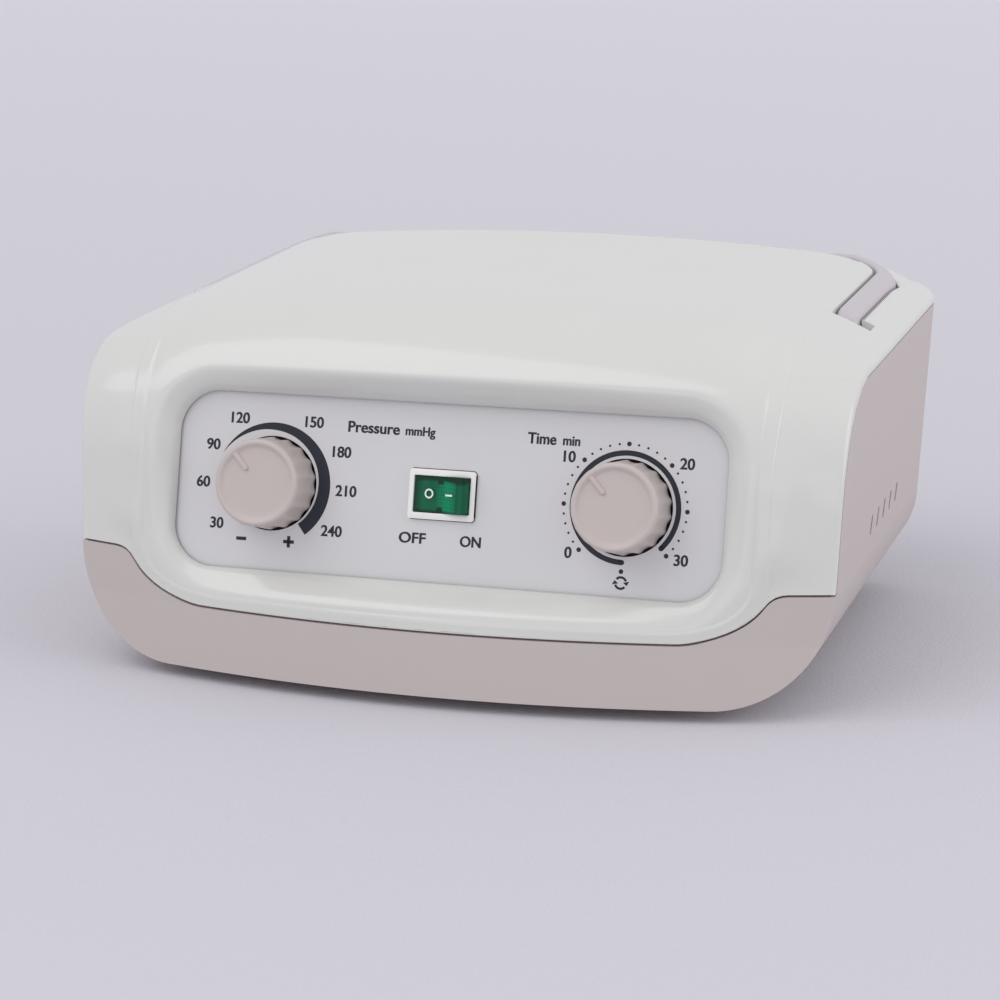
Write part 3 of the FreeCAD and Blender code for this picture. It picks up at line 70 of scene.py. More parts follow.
def gridPiece(name, columns, rows, placeAt):
    # a flat grid whose corners are carried to their places, in millimetres, by placeAt(column, row)
    deselectAll()
    bpy.ops.mesh.primitive_grid_add(x_subdivisions=columns, y_subdivisions=rows, size=1)
    piece = bpy.context.object
    piece.name = name
    for vertex in piece.data.vertices:
        column = round((vertex.co.x + 0.5) * columns)
        row = round((vertex.co.y + 0.5) * rows)
        vertex.co = Vector(placeAt(column, row)) * mm
    return piece


def sheetPiece(name, lines):
    # a grid whose columns are lines of points side by side
    return gridPiece(name, len(lines) - 1, len(lines[0]) - 1, lambda column, row: lines[column][row])


def joinPieces(name, *pieces):
    choose(*pieces)
    bpy.ops.object.join()
    pieces[0].name = name
    return pieces[0]


def mergeDoubles(piece, distance=0.004, outward=True):
    choose(piece)
    bpy.ops.object.mode_set(mode="EDIT")
    bpy.ops.mesh.select_all(action="SELECT")
    bpy.ops.mesh.remove_doubles(threshold=distance * mm)
    if outward:
        bpy.ops.mesh.normals_make_consistent(inside=False)
    bpy.ops.object.mode_set(mode="OBJECT")


def shadeSmooth(piece, angle=35):
    choose(piece)
    bpy.ops.object.shade_smooth_by_angle(angle=math.radians(angle))


def setIn(piece, body, slot, material, *nodes):
    # dress a finished piece: its body, its finish and the nodes that it stands for; slot is not used
    piece.data.materials.clear()
    piece.data.materials.append(material)
    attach(piece, body)
    if nodes:
        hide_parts(*nodes)
    return piece


# finishes
# a socket that can stand in a sum: each operator adds the Math node that it needs
class Signal:
    def __init__(self, finish, socket):
        self.finish = finish
        self.socket = socket

    def math(self, operation, *others):
        return self.finish.node("Math", {"operation": operation}, dict(enumerate((self, *others))))

    def __add__(self, other):
        return self.math("ADD", other)

    def __sub__(self, other):
        return self.math("SUBTRACT", other)

    def __rsub__(self, other):
        return self.finish.node("Math", {"operation": "SUBTRACT"}, {0: other, 1: self})

    def __mul__(self, other):
        return self.math("MULTIPLY", other)

    def __truediv__(self, other):
        return self.math("DIVIDE", other)

    __radd__ = __add__
    __rmul__ = __mul__


class Finish:
    def __init__(self, name, color, roughness, **sockets):
        self.material = bpy.data.materials.new(name)
        self.material.use_nodes = True
        self.tree = self.material.node_tree
        self.shader = self.tree.nodes["Principled BSDF"]
        self.put("Base Color", color)
        self.put("Roughness", roughness)
        for key, value in sockets.items():
            self.put(key.replace("_", " "), value)
        self.place = self.node("TexCoord", output="Object")

    def put(self, key, value):
        self.feed(self.shader.inputs[key], value)

    def feed(self, socket, value):
        if isinstance(value, Signal):
            self.tree.links.new(value.socket, socket)
        else:
            socket.default_value = value

    def node(self, kind, settings=None, inputs=None, output=0):
        made = self.tree.nodes.new("ShaderNode" + kind)
        for key, value in (settings or {}).items():
            setattr(made, key, value)
        for key, value in (inputs or {}).items():
            self.feed(made.inputs[key], value)
        return Signal(self, made.outputs[output])

    def stretched(self, scale):
        return self.node("Mapping", None, {"Vector": self.place, "Scale": scale})

    def noise(self, size, detail=2, place=None):
        # size in millimetres of one blot
        inputs = {"Vector": place or self.place, "Scale": 1 / (size * mm), "Detail": detail}
        return self.node("TexNoise", None, inputs)

    def mix(self, share, low, high):
        return self.node("Mix", {"data_type": "RGBA"}, {0: share, 6: low, 7: high}, output=2)

    def relief(self, height, depth, strength=1):
        # depth in millimetres between the lowest and the highest
        inputs = {"Strength": strength, "Distance": depth * mm, "Height": height}
        self.put("Normal", self.node("Bump", None, inputs))


def tone(red, green, blue):
    # a colour as it is seen on a screen, from 0 to 255
    return (*(((c / 255 + 0.055) / 1.055) ** 2.4 if c > 10 else c / 3295 for c in (red, green, blue)), 1)


def shade(color, share):
    return (*(c * share for c in color[:3]), 1)


def moulded(name, color, roughness, grain=0.35, depth=0.006, mottle=0.03, **sockets):
    # moulded plastic or rubber: a fine grain, faint mottling and a roughness that wanders a little
    made = Finish(name, color, roughness, **sockets)
    blots = made.noise(18, 3)
    grains = made.noise(grain, 2)
    made.put("Base Color", made.mix(blots, shade(color, 1 - mottle), shade(color, 1 + mottle)))
    made.put("Roughness", roughness + (blots - 0.5) * 0.06 + (grains - 0.5) * 0.05)
    made.relief(grains, depth)
    return made.material


def metal(name, color, roughness, along=(1, 1, 1)):
    # drawn or turned metal, with fine lines along the axis whose scale is small
    made = Finish(name, color, roughness, Metallic=1)
    lines = made.noise(0.25, 3, made.stretched(along))
    stains = made.noise(6, 3)
    made.put("Base Color", made.mix(stains, shade(color, 0.86), color))
    made.put("Roughness", roughness + (lines - 0.5) * 0.22 + (stains - 0.5) * 0.1)
    made.relief(lines, 0.01)
    return made.material


def layered(name, color, roughness, pitch, axis, metallic=0):
    # thin sheets or turns of wire side by side along an axis
    made = Finish(name, color, roughness, Metallic=metallic)
    settings = {"wave_type": "BANDS", "bands_direction": axis, "wave_profile": "SIN"}
    inputs = {"Vector": made.place, "Scale": 0.314 / (pitch * mm), "Distortion": 0.4, "Detail": 1}
    turns = made.node("TexWave", settings, inputs, output=1)
    made.put("Base Color", made.mix(turns, shade(color, 0.55), color))
    made.put("Roughness", roughness + (made.noise(2) - 0.5) * 0.15)
    made.relief(turns, 0.15)
    return made.material


def circuitBoard(name, color):
    # solder mask with copper tracks under it
    made = Finish(name, color, 0.35)
    settings = {"offset": 0.5, "squash": 1.4}
    inputs = {"Vector": made.place, "Scale": 160, "Mortar Size": 0.06, "Color1": (0, 0, 0, 1),
              "Color2": (0, 0, 0, 1), "Mortar": (1, 1, 1, 1)}
    tracks = made.node("TexBrick", settings, inputs, output=1)
    made.put("Base Color", made.mix(tracks, color, shade(color, 1.9)))
    made.relief(tracks, 0.03)
    return made.material


def felt(name, color):
    made = Finish(name, color, 0.95)
    fibres = made.noise(0.5, 6)
    made.put("Base Color", made.mix(fibres, shade(color, 0.7), shade(color, 1.1)))
    made.relief(fibres, 0.3)
    return made.material


def glossyWhite(name, color, roughness):
    # polished moulding: a faint waviness as on any large shell, and hardly any grain
    made = Finish(name, color, roughness, Coat_Weight=0.35, Coat_Roughness=0.05)
    waves = made.noise(26, 1)
    dust = made.noise(1.1, 4)
    made.put("Base Color", made.mix(waves, shade(color, 0.985), shade(color, 1.01)))
    made.put("Roughness", roughness + (dust - 0.5) * 0.05)
    made.relief(waves * 0.9 + dust * 0.01, 0.05)
    return made.material


def tintedLensAndShade(name, color):
    # clear green plastic over a ribbed back, with painted light and shade on its flat top: a lighter middle
    # and a darker bar stand in for how light falls on the rocker's shaped top, and a darker rim, left end and
    # pivot notch are painted shade
    made = Finish(name, color, 0.3, Specular_IOR_Level=0.25)
    lens = {"middle": 1.2, "middleHalf": 4.2, "bar": 4.6, "barHalf": 0.7, "up": 59.9, "rim": 3.9, "end": -6.8,
            "pivot": -1.4, "pivotHalf": 1.1, "pivotFrom": 3.2}
    along, across = (made.node("SeparateXYZ", None, {"Vector": made.place}, output=k) / mm for k in (0, 2))
    # painted light: a lighter middle across the rocker's top
    middle = 1 - (along - lens["middle"]).math("ABSOLUTE") / lens["middleHalf"]
    ribs = (across * 5.5).math("SINE") * 0.12 + (along * 7).math("SINE") * 0.1
    paintedLitMiddle = middle.math("MAXIMUM", 0) * (0.9 + ribs * 2)
    # painted shade: a darker bar, and a darker rim, left end and pivot notch
    line = 1 - (along - lens["bar"]).math("ABSOLUTE") / lens["barHalf"]
    height = (across - lens["up"]).math("ABSOLUTE")
    reach = lens["pivotHalf"] - (along - lens["pivot"]).math("ABSOLUTE")
    notchShade = (height - lens["pivotFrom"]).math("MINIMUM", reach) * 3
    paintedShade = line.math("MAXIMUM", 0) * 0.55 + (height - lens["rim"]).math("MAXIMUM", 0) * 1.1
    paintedShade = paintedShade + (lens["end"] - along).math("MAXIMUM", 0) * 0.4 + notchShade.math("MAXIMUM", 0)
    depth = made.noise(3, 2) * 0.3
    tint = made.mix(paintedLitMiddle + depth, shade(color, 0.7), shade(color, 1.9))
    made.put("Base Color", made.mix(paintedShade, tint, shade(color, 0.25)))
    made.relief(made.noise(0.5), 0.004)
    return made.material


def printedInkAndShadow(name, color):
    # a flat printed finish: ink and white marks, and also the bezel's painted shadow hairline
    made = Finish(name, color, 0.55)
    edge = made.noise(0.25, 2)
    made.put("Base Color", made.mix(edge, shade(color, 0.9), shade(color, 1.15)))
    made.relief(edge, 0.003)
    return made.material


# each finish: how it is made, its colour and what else the maker takes
recipes = {
    "casing_white": (glossyWhite, (213, 213, 209), 0.2),
    "casing_taupe": (moulded, (191, 181, 178), 0.42, 0.5, 0.012, 0.015),
    "panel_grey": (moulded, (210, 209, 210), 0.38, 0.22, 0.004, 0.008),
    "knob_plastic": (moulded, (195, 184, 180), 0.36, 0.4, 0.006, 0.01),
    "well_black": (moulded, (26, 25, 27), 0.5),
    "steel": (metal, (190, 190, 194), 0.32, (1, 1, 0.1)),
    "brass": (metal, (196, 164, 92), 0.3, (0.1, 1, 1)),
    "switch_white": (moulded, (236, 236, 233), 0.3, 0.4, 0.003, 0.01),
    "switch_green": (tintedLensAndShade, (0, 100, 68)),
    "handle_plastic": (moulded, (195, 189, 193), 0.36, 0.45, 0.006, 0.01),
    "foot_rubber": (moulded, (52, 51, 52), 0.7, 0.6, 0.03, 0.08),
    "membrane_rubber": (moulded, (40, 40, 42), 0.6, 0.5, 0.02, 0.08),
    "hose_silicone": (moulded, (214, 212, 206), 0.3, 0.8, 0.01, 0.03),
    "inner_plastic": (moulded, (70, 72, 76), 0.5),
    "frame_aluminium": (metal, (196, 198, 202), 0.38, (0.1, 1, 1)),
    "core_iron": (layered, (120, 120, 126), 0.45, 0.7, "Y", 0.8),
    "winding_copper": (layered, (176, 98, 54), 0.3, 0.6, "Z", 0.9),
    "filter_felt": (felt, (210, 208, 200)),
    "electric_black": (moulded, (34, 34, 36), 0.42, 0.5, 0.01, 0.05),
    "fuse_glass": (moulded, (216, 222, 222), 0.08, 1, 0.001, 0.02),
    "board_green": (circuitBoard, (22, 84, 52)),
    "terminal_green": (moulded, (34, 120, 66), 0.4),
    "lead_insulation": (moulded, (96, 62, 40), 0.4),
}
finishes = {name: maker(name, tone(*color), *rest) for name, (maker, color, *rest) in recipes.items()}
inkFinish = printedInkAndShadow("panel_ink", tone(22, 26, 40))

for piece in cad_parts.values():
    old = piece.material_slots[0].material.name
    name = next(key for key in finishes if key in old)
    piece.data.materials.clear()
    piece.data.materials.append(finishes[name])
print("finishes made")

# the casing's outer form, in millimetres
form = {
    "halfWidth": 122, "frontY": -95, "rearY": 95, "crownHeight": 115, "baseHeight": 4,
    "crownFlat": 80, "crownRadius": 1067, "shoulderRadius": 81, "railHeight": 98, "sideDraft": 1.9,
    "seamHeight": 23, "cheekSeam": 38, "seamFlat": 75, "seamTop": 107.5, "skirtLean": 10, "bowRadius": 388,
    "frontTop": 23.5, "cornerSetback": 7.2, "browBack": 46, "browDown": 40, "cheekBack": 28,
    "cheekDown": 38, "cheekBlend": 98, "rearCorner": 13, "panelY": -70, "panelZ": 60, "panelLean": 14.73,
}
leanSin = math.sin(math.radians(form["panelLean"]))
leanCos = math.cos(math.radians(form["panelLean"]))


def onPanel(u, v, h):
    # a point by its place on the panel: across, up and out
    return Vector((u, form["panelY"] + leanSin * v - leanCos * h, form["panelZ"] + leanCos * v + leanSin * h))


def panelUp(y, z):
    return leanSin * (y - form["panelY"]) + leanCos * (z - form["panelZ"])


def panelOut(y, z):
    return leanSin * (z - form["panelZ"]) - leanCos * (y - form["panelY"])


def crown(x):
    flat = min(abs(x), form["crownFlat"])
    out = abs(x) - flat
    middle = form["crownHeight"] - flat ** 2 / (2 * form["crownRadius"])
    return middle - out * form["crownFlat"] / form["crownRadius"] - out ** 2 / (2 * form["shoulderRadius"])


def sideX(z):
    return form["halfWidth"] - (form["railHeight"] - z) * math.tan(math.radians(form["sideDraft"]))


def section(x):
    # the side view's outline at x: top height, front corner and its two reaches, and the front's lean
    top, spread = crown(x), abs(x)
    lift = form["seamHeight"] - form["baseHeight"]
    seam = form["frontY"] + x * x / (2 * form["bowRadius"]) + lift * math.tan(math.radians(form["skirtLean"]))
    corner = form["frontY"] + form["frontTop"] + form["cornerSetback"] * (x / form["halfWidth"]) ** 4
    share = ramp(spread, form["cheekBlend"], form["halfWidth"] - form["cheekBlend"])
    back = blend(form["browBack"], form["cheekBack"], share)
    down = blend(form["browDown"], form["cheekDown"], share)
    return top, corner, back, down, (corner - seam) / (top - form["seamHeight"])


def bendPoint(x, t):
    # the brow's bend: its point and its normal seen from the side
    top, corner, back, down, lean = section(x)
    y = (1 - t) ** 2 * (corner - down * lean) + 2 * t * (1 - t) * corner + t * t * (corner + back)
    z = (1 - t) ** 2 * (top - down) + (1 - (1 - t) ** 2) * top
    dy = 2 * (1 - t) * down * lean + 2 * t * back
    dz = 2 * (1 - t) * down
    return Vector((x, y, z)), Vector((0, -dz, dy)).normalized()


def bendShare(x, v):
    # how far along the bend the height v on the panel lies
    top, corner, back, down, lean = section(x)
    low, edge, high = (panelUp(corner - down * lean, top - down), panelUp(corner, top),
                       panelUp(corner + back, top))
    a, b, c = low - 2 * edge + high, 2 * (edge - low), low - v
    return c / -b if abs(a) < 1e-9 else (-b + math.sqrt(max(0, b * b - 4 * a * c))) / (2 * a)


def skinAt(x, v):
    # the front's point and normal at x and the height v on the panel
    top, corner, back, down, lean = section(x)
    if v > panelUp(corner - down * lean, top - down):
        return bendPoint(x, min(1, bendShare(x, v)))
    reach = leanSin * (corner - top * lean - form["panelY"]) - leanCos * form["panelZ"]
    z = (v - reach) / (leanSin * lean + leanCos)
    return Vector((x, corner - (top - z) * lean, z)), Vector((0, -1, lean)).normalized()


def heightToUp(x, z):
    # the height v on the panel of the front's point at x and z
    top, corner, back, down, lean = section(x)
    return panelUp(corner - (top - z) * lean, z)


# white cover
cover = {
    # a pair that a ramp takes says where it starts and over what length it rises
    "openingHalf": 87, "openingUp": 27.6, "openingDown": 26.8, "openingCorner": 13, "lip": 0.8,
    "flare": 9, "lipRise": 1.7, "lipShare": 0.24, "flareRound": 0.34,
    "browRow": 42, "creaseX": 97, "creaseLowX": 96.5, "creaseTopX": 97.5, "creaseSpread": (5, 20),
    "creaseStart": -16.4, "creaseFlat": 60,
    "creaseDrop": 19.2, "creaseBow": 1.0, "creasePower": 2.7, "creaseDepth": 0.28, "creaseWidth": 1.1,
    "lidCrease": 0.2, "lidCreaseFrom": (-50, 54), "stripX": 101.3, "stripBrowX": 102.4,
    "stripSpread": (5, 37), "stepWidth": 0.5, "stepDepth": 0.4, "stepEnd": 5,
    "rise": 0.6, "riseAcross": (45, 50), "riseUp": (26, 15), "riseDown": (66, 20),
    "edgeRise": ((27, 2), (41, 2.4), (68, 1.8), (83, 0.4), (96, 0.2), (200, 0.14)),
    "riseFade": (0.5, 14), "swellEnd": 119, "cheekCrease": ((102.6, -45.1), (121.7, -36.6)),
    "cheekBreak": 0.4, "breakFade": (6, 12),
    "edgeRound": 1.0, "seamRound": 0.35, "seamShow": 0.35, "sideLip": 1.6,
    "lidHalf": 102.6, "lidRear": 83, "lidCorner": 9.5, "channelFront": 4, "channelWidth": 8.2,
    "channelRear": 8, "channelCorner": 17, "channelDepth": 11, "mouthRound": 0.6,
    "pocketFloor": 88.5, "pocketEnd": 23, "notchFloor": 100.3,
    "scoopHalf": 25, "scoopRound": 5, "scoopFloor": 105.5, "rearTop": 109.7, "rearDepth": 4,
    "cornerDrop": 1.8, "dropFrom": (72, 20), "dropTo": (111, 9), "dropRear": (58, 26),
}


def seamHeight(x):
    # the cover's lower edge seen from the front: low in the middle, an ogee up to the cheeks
    share = (abs(x) - form["seamFlat"]) / (form["seamTop"] - form["seamFlat"])
    along, up = (0, 0.25, 0.52, 0.74, 0.829, 1), (0, 0.085, 0.3, 0.66, 0.887, 1)
    slopes = (0, 0.56, 1.14, 2.4, 1.68, 0)
    if share <= 0 or share >= 1:
        return form["seamHeight"] if share <= 0 else form["cheekSeam"]
    k = max(i for i in range(5) if along[i] <= share)
    width = along[k + 1] - along[k]
    t = (share - along[k]) / width
    rise = ((2 * t ** 3 - 3 * t ** 2 + 1) * up[k] + (t ** 3 - 2 * t ** 2 + t) * width * slopes[k]
            + (3 * t ** 2 - 2 * t ** 3) * up[k + 1] + (t ** 3 - t ** 2) * width * slopes[k + 1])
    return blend(form["seamHeight"], form["cheekSeam"], rise)


def seamUp(x):
    return heightToUp(x, seamHeight(x) + cover["seamShow"])


def frameRise(point):
    # the front frame stands a little proud of the cheeks, less towards the seam and the top
    across, up = ramp(abs(point.x), *cover["riseAcross"]), ramp(point.z, *cover["riseUp"])
    return cover["rise"] * across * up * (1 - ramp(point.z, *cover["riseDown"]))


def edgeRise(point):
    # how far the frame's outer edge stands out, by its height and fading out at the seam
    knots = cover["edgeRise"]
    (low, first), (high, second) = next(pair for pair in zip(knots, knots[1:]) if point.z < pair[1][0])
    rise = blend(first, second, ramp(point.z, low, high - low))
    return rise * ramp(point.z - seamHeight(point.x), *cover["riseFade"])


def cheekLift(point):
    # the cheek swells up to just under the frame's edge and falls off towards the side
    across = ramp(abs(point.x), cover["stripX"], cover["swellEnd"] - cover["stripX"])
    return max(0, edgeRise(point) - cover["stepDepth"]) * (1 - across)


def creaseX(v):
    return blend(cover["creaseLowX"], cover["creaseX"], ramp(v, *cover["creaseSpread"]))


def creaseUp(x):
    # the height on the panel of the crease under the panel
    flat, power = cover["creaseFlat"], cover["creasePower"]
    share = max(0, min(1, (abs(x) - flat) / (cover["creaseLowX"] - flat)))
    drop = cover["creaseDrop"] * (1 - share ** power) ** (1 / power)
    return cover["creaseStart"] - drop - cover["creaseBow"] * (1 - min(1, abs(x) / flat) ** 2)


def insideCrease(x, v):
    if v > cover["browRow"]:
        return False
    return abs(x) < creaseX(v) and (v > cover["creaseStart"] or v > creaseUp(x))


def castOut(u, v, du, dv, reach=120):
    # the crease's place on the way from a point, found by halving
    low, high = 0, reach
    for step in range(40):
        middle = (low + high) / 2
        if insideCrease(u + du * middle, v + dv * middle):
            low = middle
        else:
            high = middle
    return u + du * low, v + dv * low


# the fan of rays below the opening's corner: to the cheek's lower edge, then to the seam, in degrees
fan = {"cheek": -10, "cheekOver": 13, "seam": -24, "seamOver": 66, "seamSpread": 5.3}
onBrow = cover["browRow"] - 0.01


def buildRays():
    # rays from the opening outwards, right side first, as (start across, start up, direction)
    half, up, down, corner = (cover["openingHalf"], cover["openingUp"], cover["openingDown"],
                              cover["openingCorner"])
    inX, inUp, inDown = half - corner, up - corner, -(down - corner)
    toCorner = math.degrees(math.atan2(cover["browRow"] - inUp, cover["creaseX"] - inX))
    upper = [toCorner * k / 6 for k in range(6)] + [blend(toCorner, 90, k / 6) for k in range(6)]
    lower = [0, -4, -8] + [fan["cheek"] - fan["cheekOver"] * k / 10 for k in range(11)]
    lower += [-28 - 6.2 * k for k in range(10)]
    right = [(inX, inDown, a) for a in reversed(lower[1:])]
    right += [(inX, blend(inDown, inUp, k / 12), 0) for k in range(12)]
    right += [(inX, inUp, a) for a in upper]
    top = [(blend(inX, -inX, k / 60), inUp, 90) for k in range(61)]
    left = [(-u, v, 180 - a) for u, v, a in reversed(right)]
    bottom = [(blend(-inX, inX, k / 60), inDown, -90) for k in range(61)]
    return right + top + left + bottom


rays = buildRays()
corner = cover["openingCorner"]


def rayStart(ray, grow):
    u, v, angle = ray
    way = math.radians(angle)
    reach = corner + grow
    return u + reach * math.cos(way), v + reach * math.sin(way)


def creaseEnd(ray):
    u, v, angle = ray
    way = math.radians(angle)
    x, y = castOut(u, v, math.cos(way), math.sin(way))
    return (x, cover["browRow"]) if v > 0 and 1 < angle < 179 and y > onBrow else (x, y)


creaseEnds = [creaseEnd(ray) for ray in rays]
flareSteps = [0, 0.012, 0.035, 0.07, 0.11, 0.155, 0.2, 0.28, 0.38, 0.48, 0.58, 0.67, 0.75, 0.82, 0.88,
              0.94, 1]
faceSteps = [0.06, 0.14, 0.25, 0.38, 0.52, 0.66, 0.8, 0.91, 1]


def flareOut(w, depth):
    # the dish's wall: a rounded lip at the panel, then a slope that rounds over into the front
    lipShare = min(1, w / cover["lipShare"])
    edge = math.sqrt(1 - (1 - lipShare) ** 2)
    bend = cover["flareRound"]
    if w < 1 - bend:
        slope = w / (1 - bend / 2)
    else:
        slope = 1 - (1 - w) ** 2 / (2 * bend * (1 - bend / 2))
    return cover["lip"] + cover["lipRise"] * edge + (depth - cover["lip"] - cover["lipRise"]) * slope


def dishPoint(column, row):
    ray = rays[column % len(rays)]
    end = creaseEnds[column % len(rays)]
    if row < len(flareSteps):
        w = flareSteps[row]
        u, v = rayStart(ray, cover["flare"] * w)
        point, normal = skinAt(u, v)
        point = point + normal * frameRise(point)
        return onPanel(u, v, flareOut(w, panelOut(point.y, point.z)))
    share = faceSteps[row - len(flareSteps)]
    u, v = rayStart(ray, cover["flare"])
    x, up = blend(u, end[0], share), blend(v, end[1], share)
    point, normal = skinAt(x, up)
    return point + normal * frameRise(point)


# the band outside the crease: a strip, the step down to the cheek, the cheek and its rounded outer edge
stripSteps = [0, 0.08, 0.17, 0.3, 0.5, 0.68, 0.79, 0.86, 0.92, 0.97, 1]
cheekSteps = [0, 0.035, 0.17, 0.34, 0.5, 0.66, 0.82, 0.94]
edgeTurns = [0, 30, 60, 90]


def sideEdgeX(find):
    # where the side's plane cuts the skin; find gives the skin's point at an x
    x = form["halfWidth"] - 2
    for step in range(12):
        x = sideX(find(x).z)
    return x


def stepShare(distance):
    share = max(0, min(1, distance / cover["stepWidth"]))
    return 1 - (1 - share) ** 2.4


def stripRise(point, share, crease, step):
    # the strip climbs from the crease to the frame's outer edge and steps down to the cheek there
    low = cheekLift(point) * share
    high = blend(frameRise(point), edgeRise(point), share) + crease * (1 - share)
    return low + (high - low) * step


def edgeLine(point, before, normal, depth, radius):
    # the rounded edge from the surface to the face behind it, and that face's far side
    along = (before - point).normalized()
    line = []
    for turn in edgeTurns:
        way = math.radians(turn)
        line.append(point + along * radius * (1 - math.sin(way)) - normal * radius * (1 - math.cos(way)))
    line.append(point - normal * depth)
    return line


def bandRays():
    # the rays that cross the band, from the brow row on the right down and round to the brow row on the left
    corners = [k for k, end in enumerate(creaseEnds) if abs(end[0]) > 90 and end[1] >= onBrow]
    start = next(k for k in corners if creaseEnds[k][0] > 0)
    stop = next(k for k in corners if creaseEnds[k][0] < 0 and creaseEnds[(k + 1) % len(rays)][1] < onBrow)
    order = []
    k = start
    while k != stop:
        order.append(k)
        k = (k - 1) % len(rays)
    return order + [stop]


bandOrder = bandRays()


def outerPlace(ray, end):
    # where a ray of the band ends: on the side's edge, on the cheek's lower edge or on the seam
    x, v = end
    side = 1 if x > 0 else -1
    spread = abs(x)
    angle = ray[2] if x > 0 else 180 - ray[2]
    angle = (angle + 180) % 360 - 180
    if ray[1] > 0 or angle > fan["cheek"] + 0.5:
        top = cover["browRow"]
        edgeV = blend(top, cheekCorner[1], (top - v) / (top - cheekRayEnd))
        return "side", side * sideEdgeX(lambda at: skinAt(at, edgeV)[0]), edgeV
    if angle > fan["seam"]:
        at = blend(cheekCorner[0], cheekIn, (fan["cheek"] - angle) / fan["cheekOver"])
        return "cheek", side * at, seamUp(at)
    share = min(1, (fan["seam"] - angle) / fan["seamOver"])
    at = spread + fan["seamSpread"] * (1 - share) ** 1.5
    return "seam", side * at, seamUp(at)


cheekX = sideEdgeX(lambda at: Vector((at, 0, form["cheekSeam"])))
cheekCorner = cheekX, seamUp(cheekX)
cheekIn = cover["stripX"] + 0.35
cheekRayEnd = next(end[1] for ray, end in zip(rays, creaseEnds) if abs(ray[2] - fan["cheek"]) < 0.01)


def bandPoints(order):
    ray, end = rays[bandOrder[order]], creaseEnds[bandOrder[order]]
    kind, outX, outV = outerPlace(ray, end)
    side = 1 if end[0] > 0 else -1
    if kind == "seam":
        stripEnd = blend(end[0], outX, 0.9), blend(end[1], outV, 0.9)
    else:
        stripX = blend(cover["stripX"], cover["stripBrowX"], ramp(end[1], *cover["stripSpread"]))
        reach = (stripX - abs(end[0])) / (abs(outX) - abs(end[0]))
        stripV = blend(end[1], outV, min(1, reach))
        if kind == "cheek":
            share = (abs(outX) - cheekCorner[0]) / (cheekIn - cheekCorner[0])
            lowest = seamUp(stripX) + 0.3
            stripV = max(blend(end[1], outV, reach), lowest) if share < 1 else lowest
        stripEnd = side * stripX, stripV
    line = []
    length = math.hypot(stripEnd[0] - end[0], stripEnd[1] - end[1])
    for share in stripSteps:
        x, v = blend(end[0], stripEnd[0], share), blend(end[1], stripEnd[1], share)
        point, normal = skinAt(x, v)
        crease = cover["creaseDepth"] * smooth(share * length / cover["creaseWidth"])
        if kind == "seam":
            lift = (frameRise(point) + crease) * (1 - smooth(share * 0.9))
        else:
            lift = stripRise(point, share, crease, stepShare((1 - share) * length))
        line.append(point + normal * lift)
    radius = cover["edgeRound"] if kind == "side" else cover["seamRound"]
    depth = cover["sideLip"] if kind == "side" else 2.5 * cover["seamRound"]
    last, normal = skinAt(outX, outV)
    if kind == "side":
        depth *= abs(normal.y) + abs(normal.z)
    inner = skinAt(*stripEnd)[0]
    for share in cheekSteps[1:]:
        x, v = blend(stripEnd[0], outX, share), blend(stripEnd[1], outV, share)
        point, around = skinAt(x, max(v, seamUp(x)))
        if (point - last).length < radius * 1.05:
            point = last + (inner - last).normalized() * radius * (1.05 + (1 - share))
        line.append(point + around * cheekLift(point) * (1 - smooth(share)) if kind != "seam" else point)
    return line + edgeLine(last, line[-1], normal, depth, radius)


bandLines = [bandPoints(order) for order in range(len(bandOrder))]


def browLine(right):
    return bandLines[0 if right else -1]


# the top: rows over the brow's bend, back to the channel's front end and on to the lid's rear
bendRows, nearRows = 14, 14
sideRows = [4, 4, 8, 12, 12, 16, 20.5, 23] + [23 + 50.5 * k / 12 for k in range(1, 13)]
notchRows = 1, 3
cornerRows = 4
centreX = sorted(end[0] for end in creaseEnds if end[1] >= onBrow)
mouth = cover["mouthRound"]
lidX, lidY, lidR = cover["lidHalf"] - mouth, cover["lidRear"] - mouth, cover["lidCorner"] - mouth


def lidColumns():
    # each column's x on the brow row and over the lid, and its share of the strip or None
    strip = [abs(browStrip(share)) for share in stripSteps]
    inner = [(x, remapLid(x), None) for x in centreX]
    right = [(strip[k], blend(cover["creaseTopX"], lidX, share), share)
             for k, share in enumerate(stripSteps) if k > 0]
    left = [(-x, -over, share) for x, over, share in reversed(right)]
    return left + inner + right


def browStrip(share):
    return blend(cover["creaseX"], cover["stripBrowX"], share)


scoopStops = {19.733: 20.0, 22.2: 23.3, 24.667: 24.8, 27.133: 25.1, 29.6: 26.2}


def remapLid(x, straight=74):
    # columns gather beside the finger scoop's ends, and the outer ones spread to the lid's crease
    for near, stop in scoopStops.items():
        if abs(abs(x) - near) < 0.3:
            return math.copysign(stop, x)
    return x * cover["creaseTopX"] / cover["creaseX"] if abs(x) > straight else x


columns = lidColumns()
lidRows = bendRows + nearRows + len(sideRows) - 1 + cornerRows


def roundCorner(x, y):
    # carry a square corner onto the lid's round one
    inX, inY = lidX - lidR, lidY - lidR
    if abs(x) <= inX or y <= inY:
        return x, y
    a, b = (abs(x) - inX) / lidR, (y - inY) / lidR
    side = 1 if x > 0 else -1
    return side * (inX + lidR * a * math.sqrt(1 - b * b / 2)), inY + lidR * b * math.sqrt(1 - a * a / 2)


def stripLift(point, share, length):
    if share is None:
        return frameRise(point)
    depth = blend(cover["creaseDepth"], cover["lidCrease"], ramp(point.y, *cover["lidCreaseFrom"]))
    crease = depth * smooth(share * length / cover["creaseWidth"])
    step = stripRise(point, share, crease, stepShare((1 - share) * length))
    return blend(step, crease, ramp(point.y, cover["channelFront"], cover["stepEnd"]))


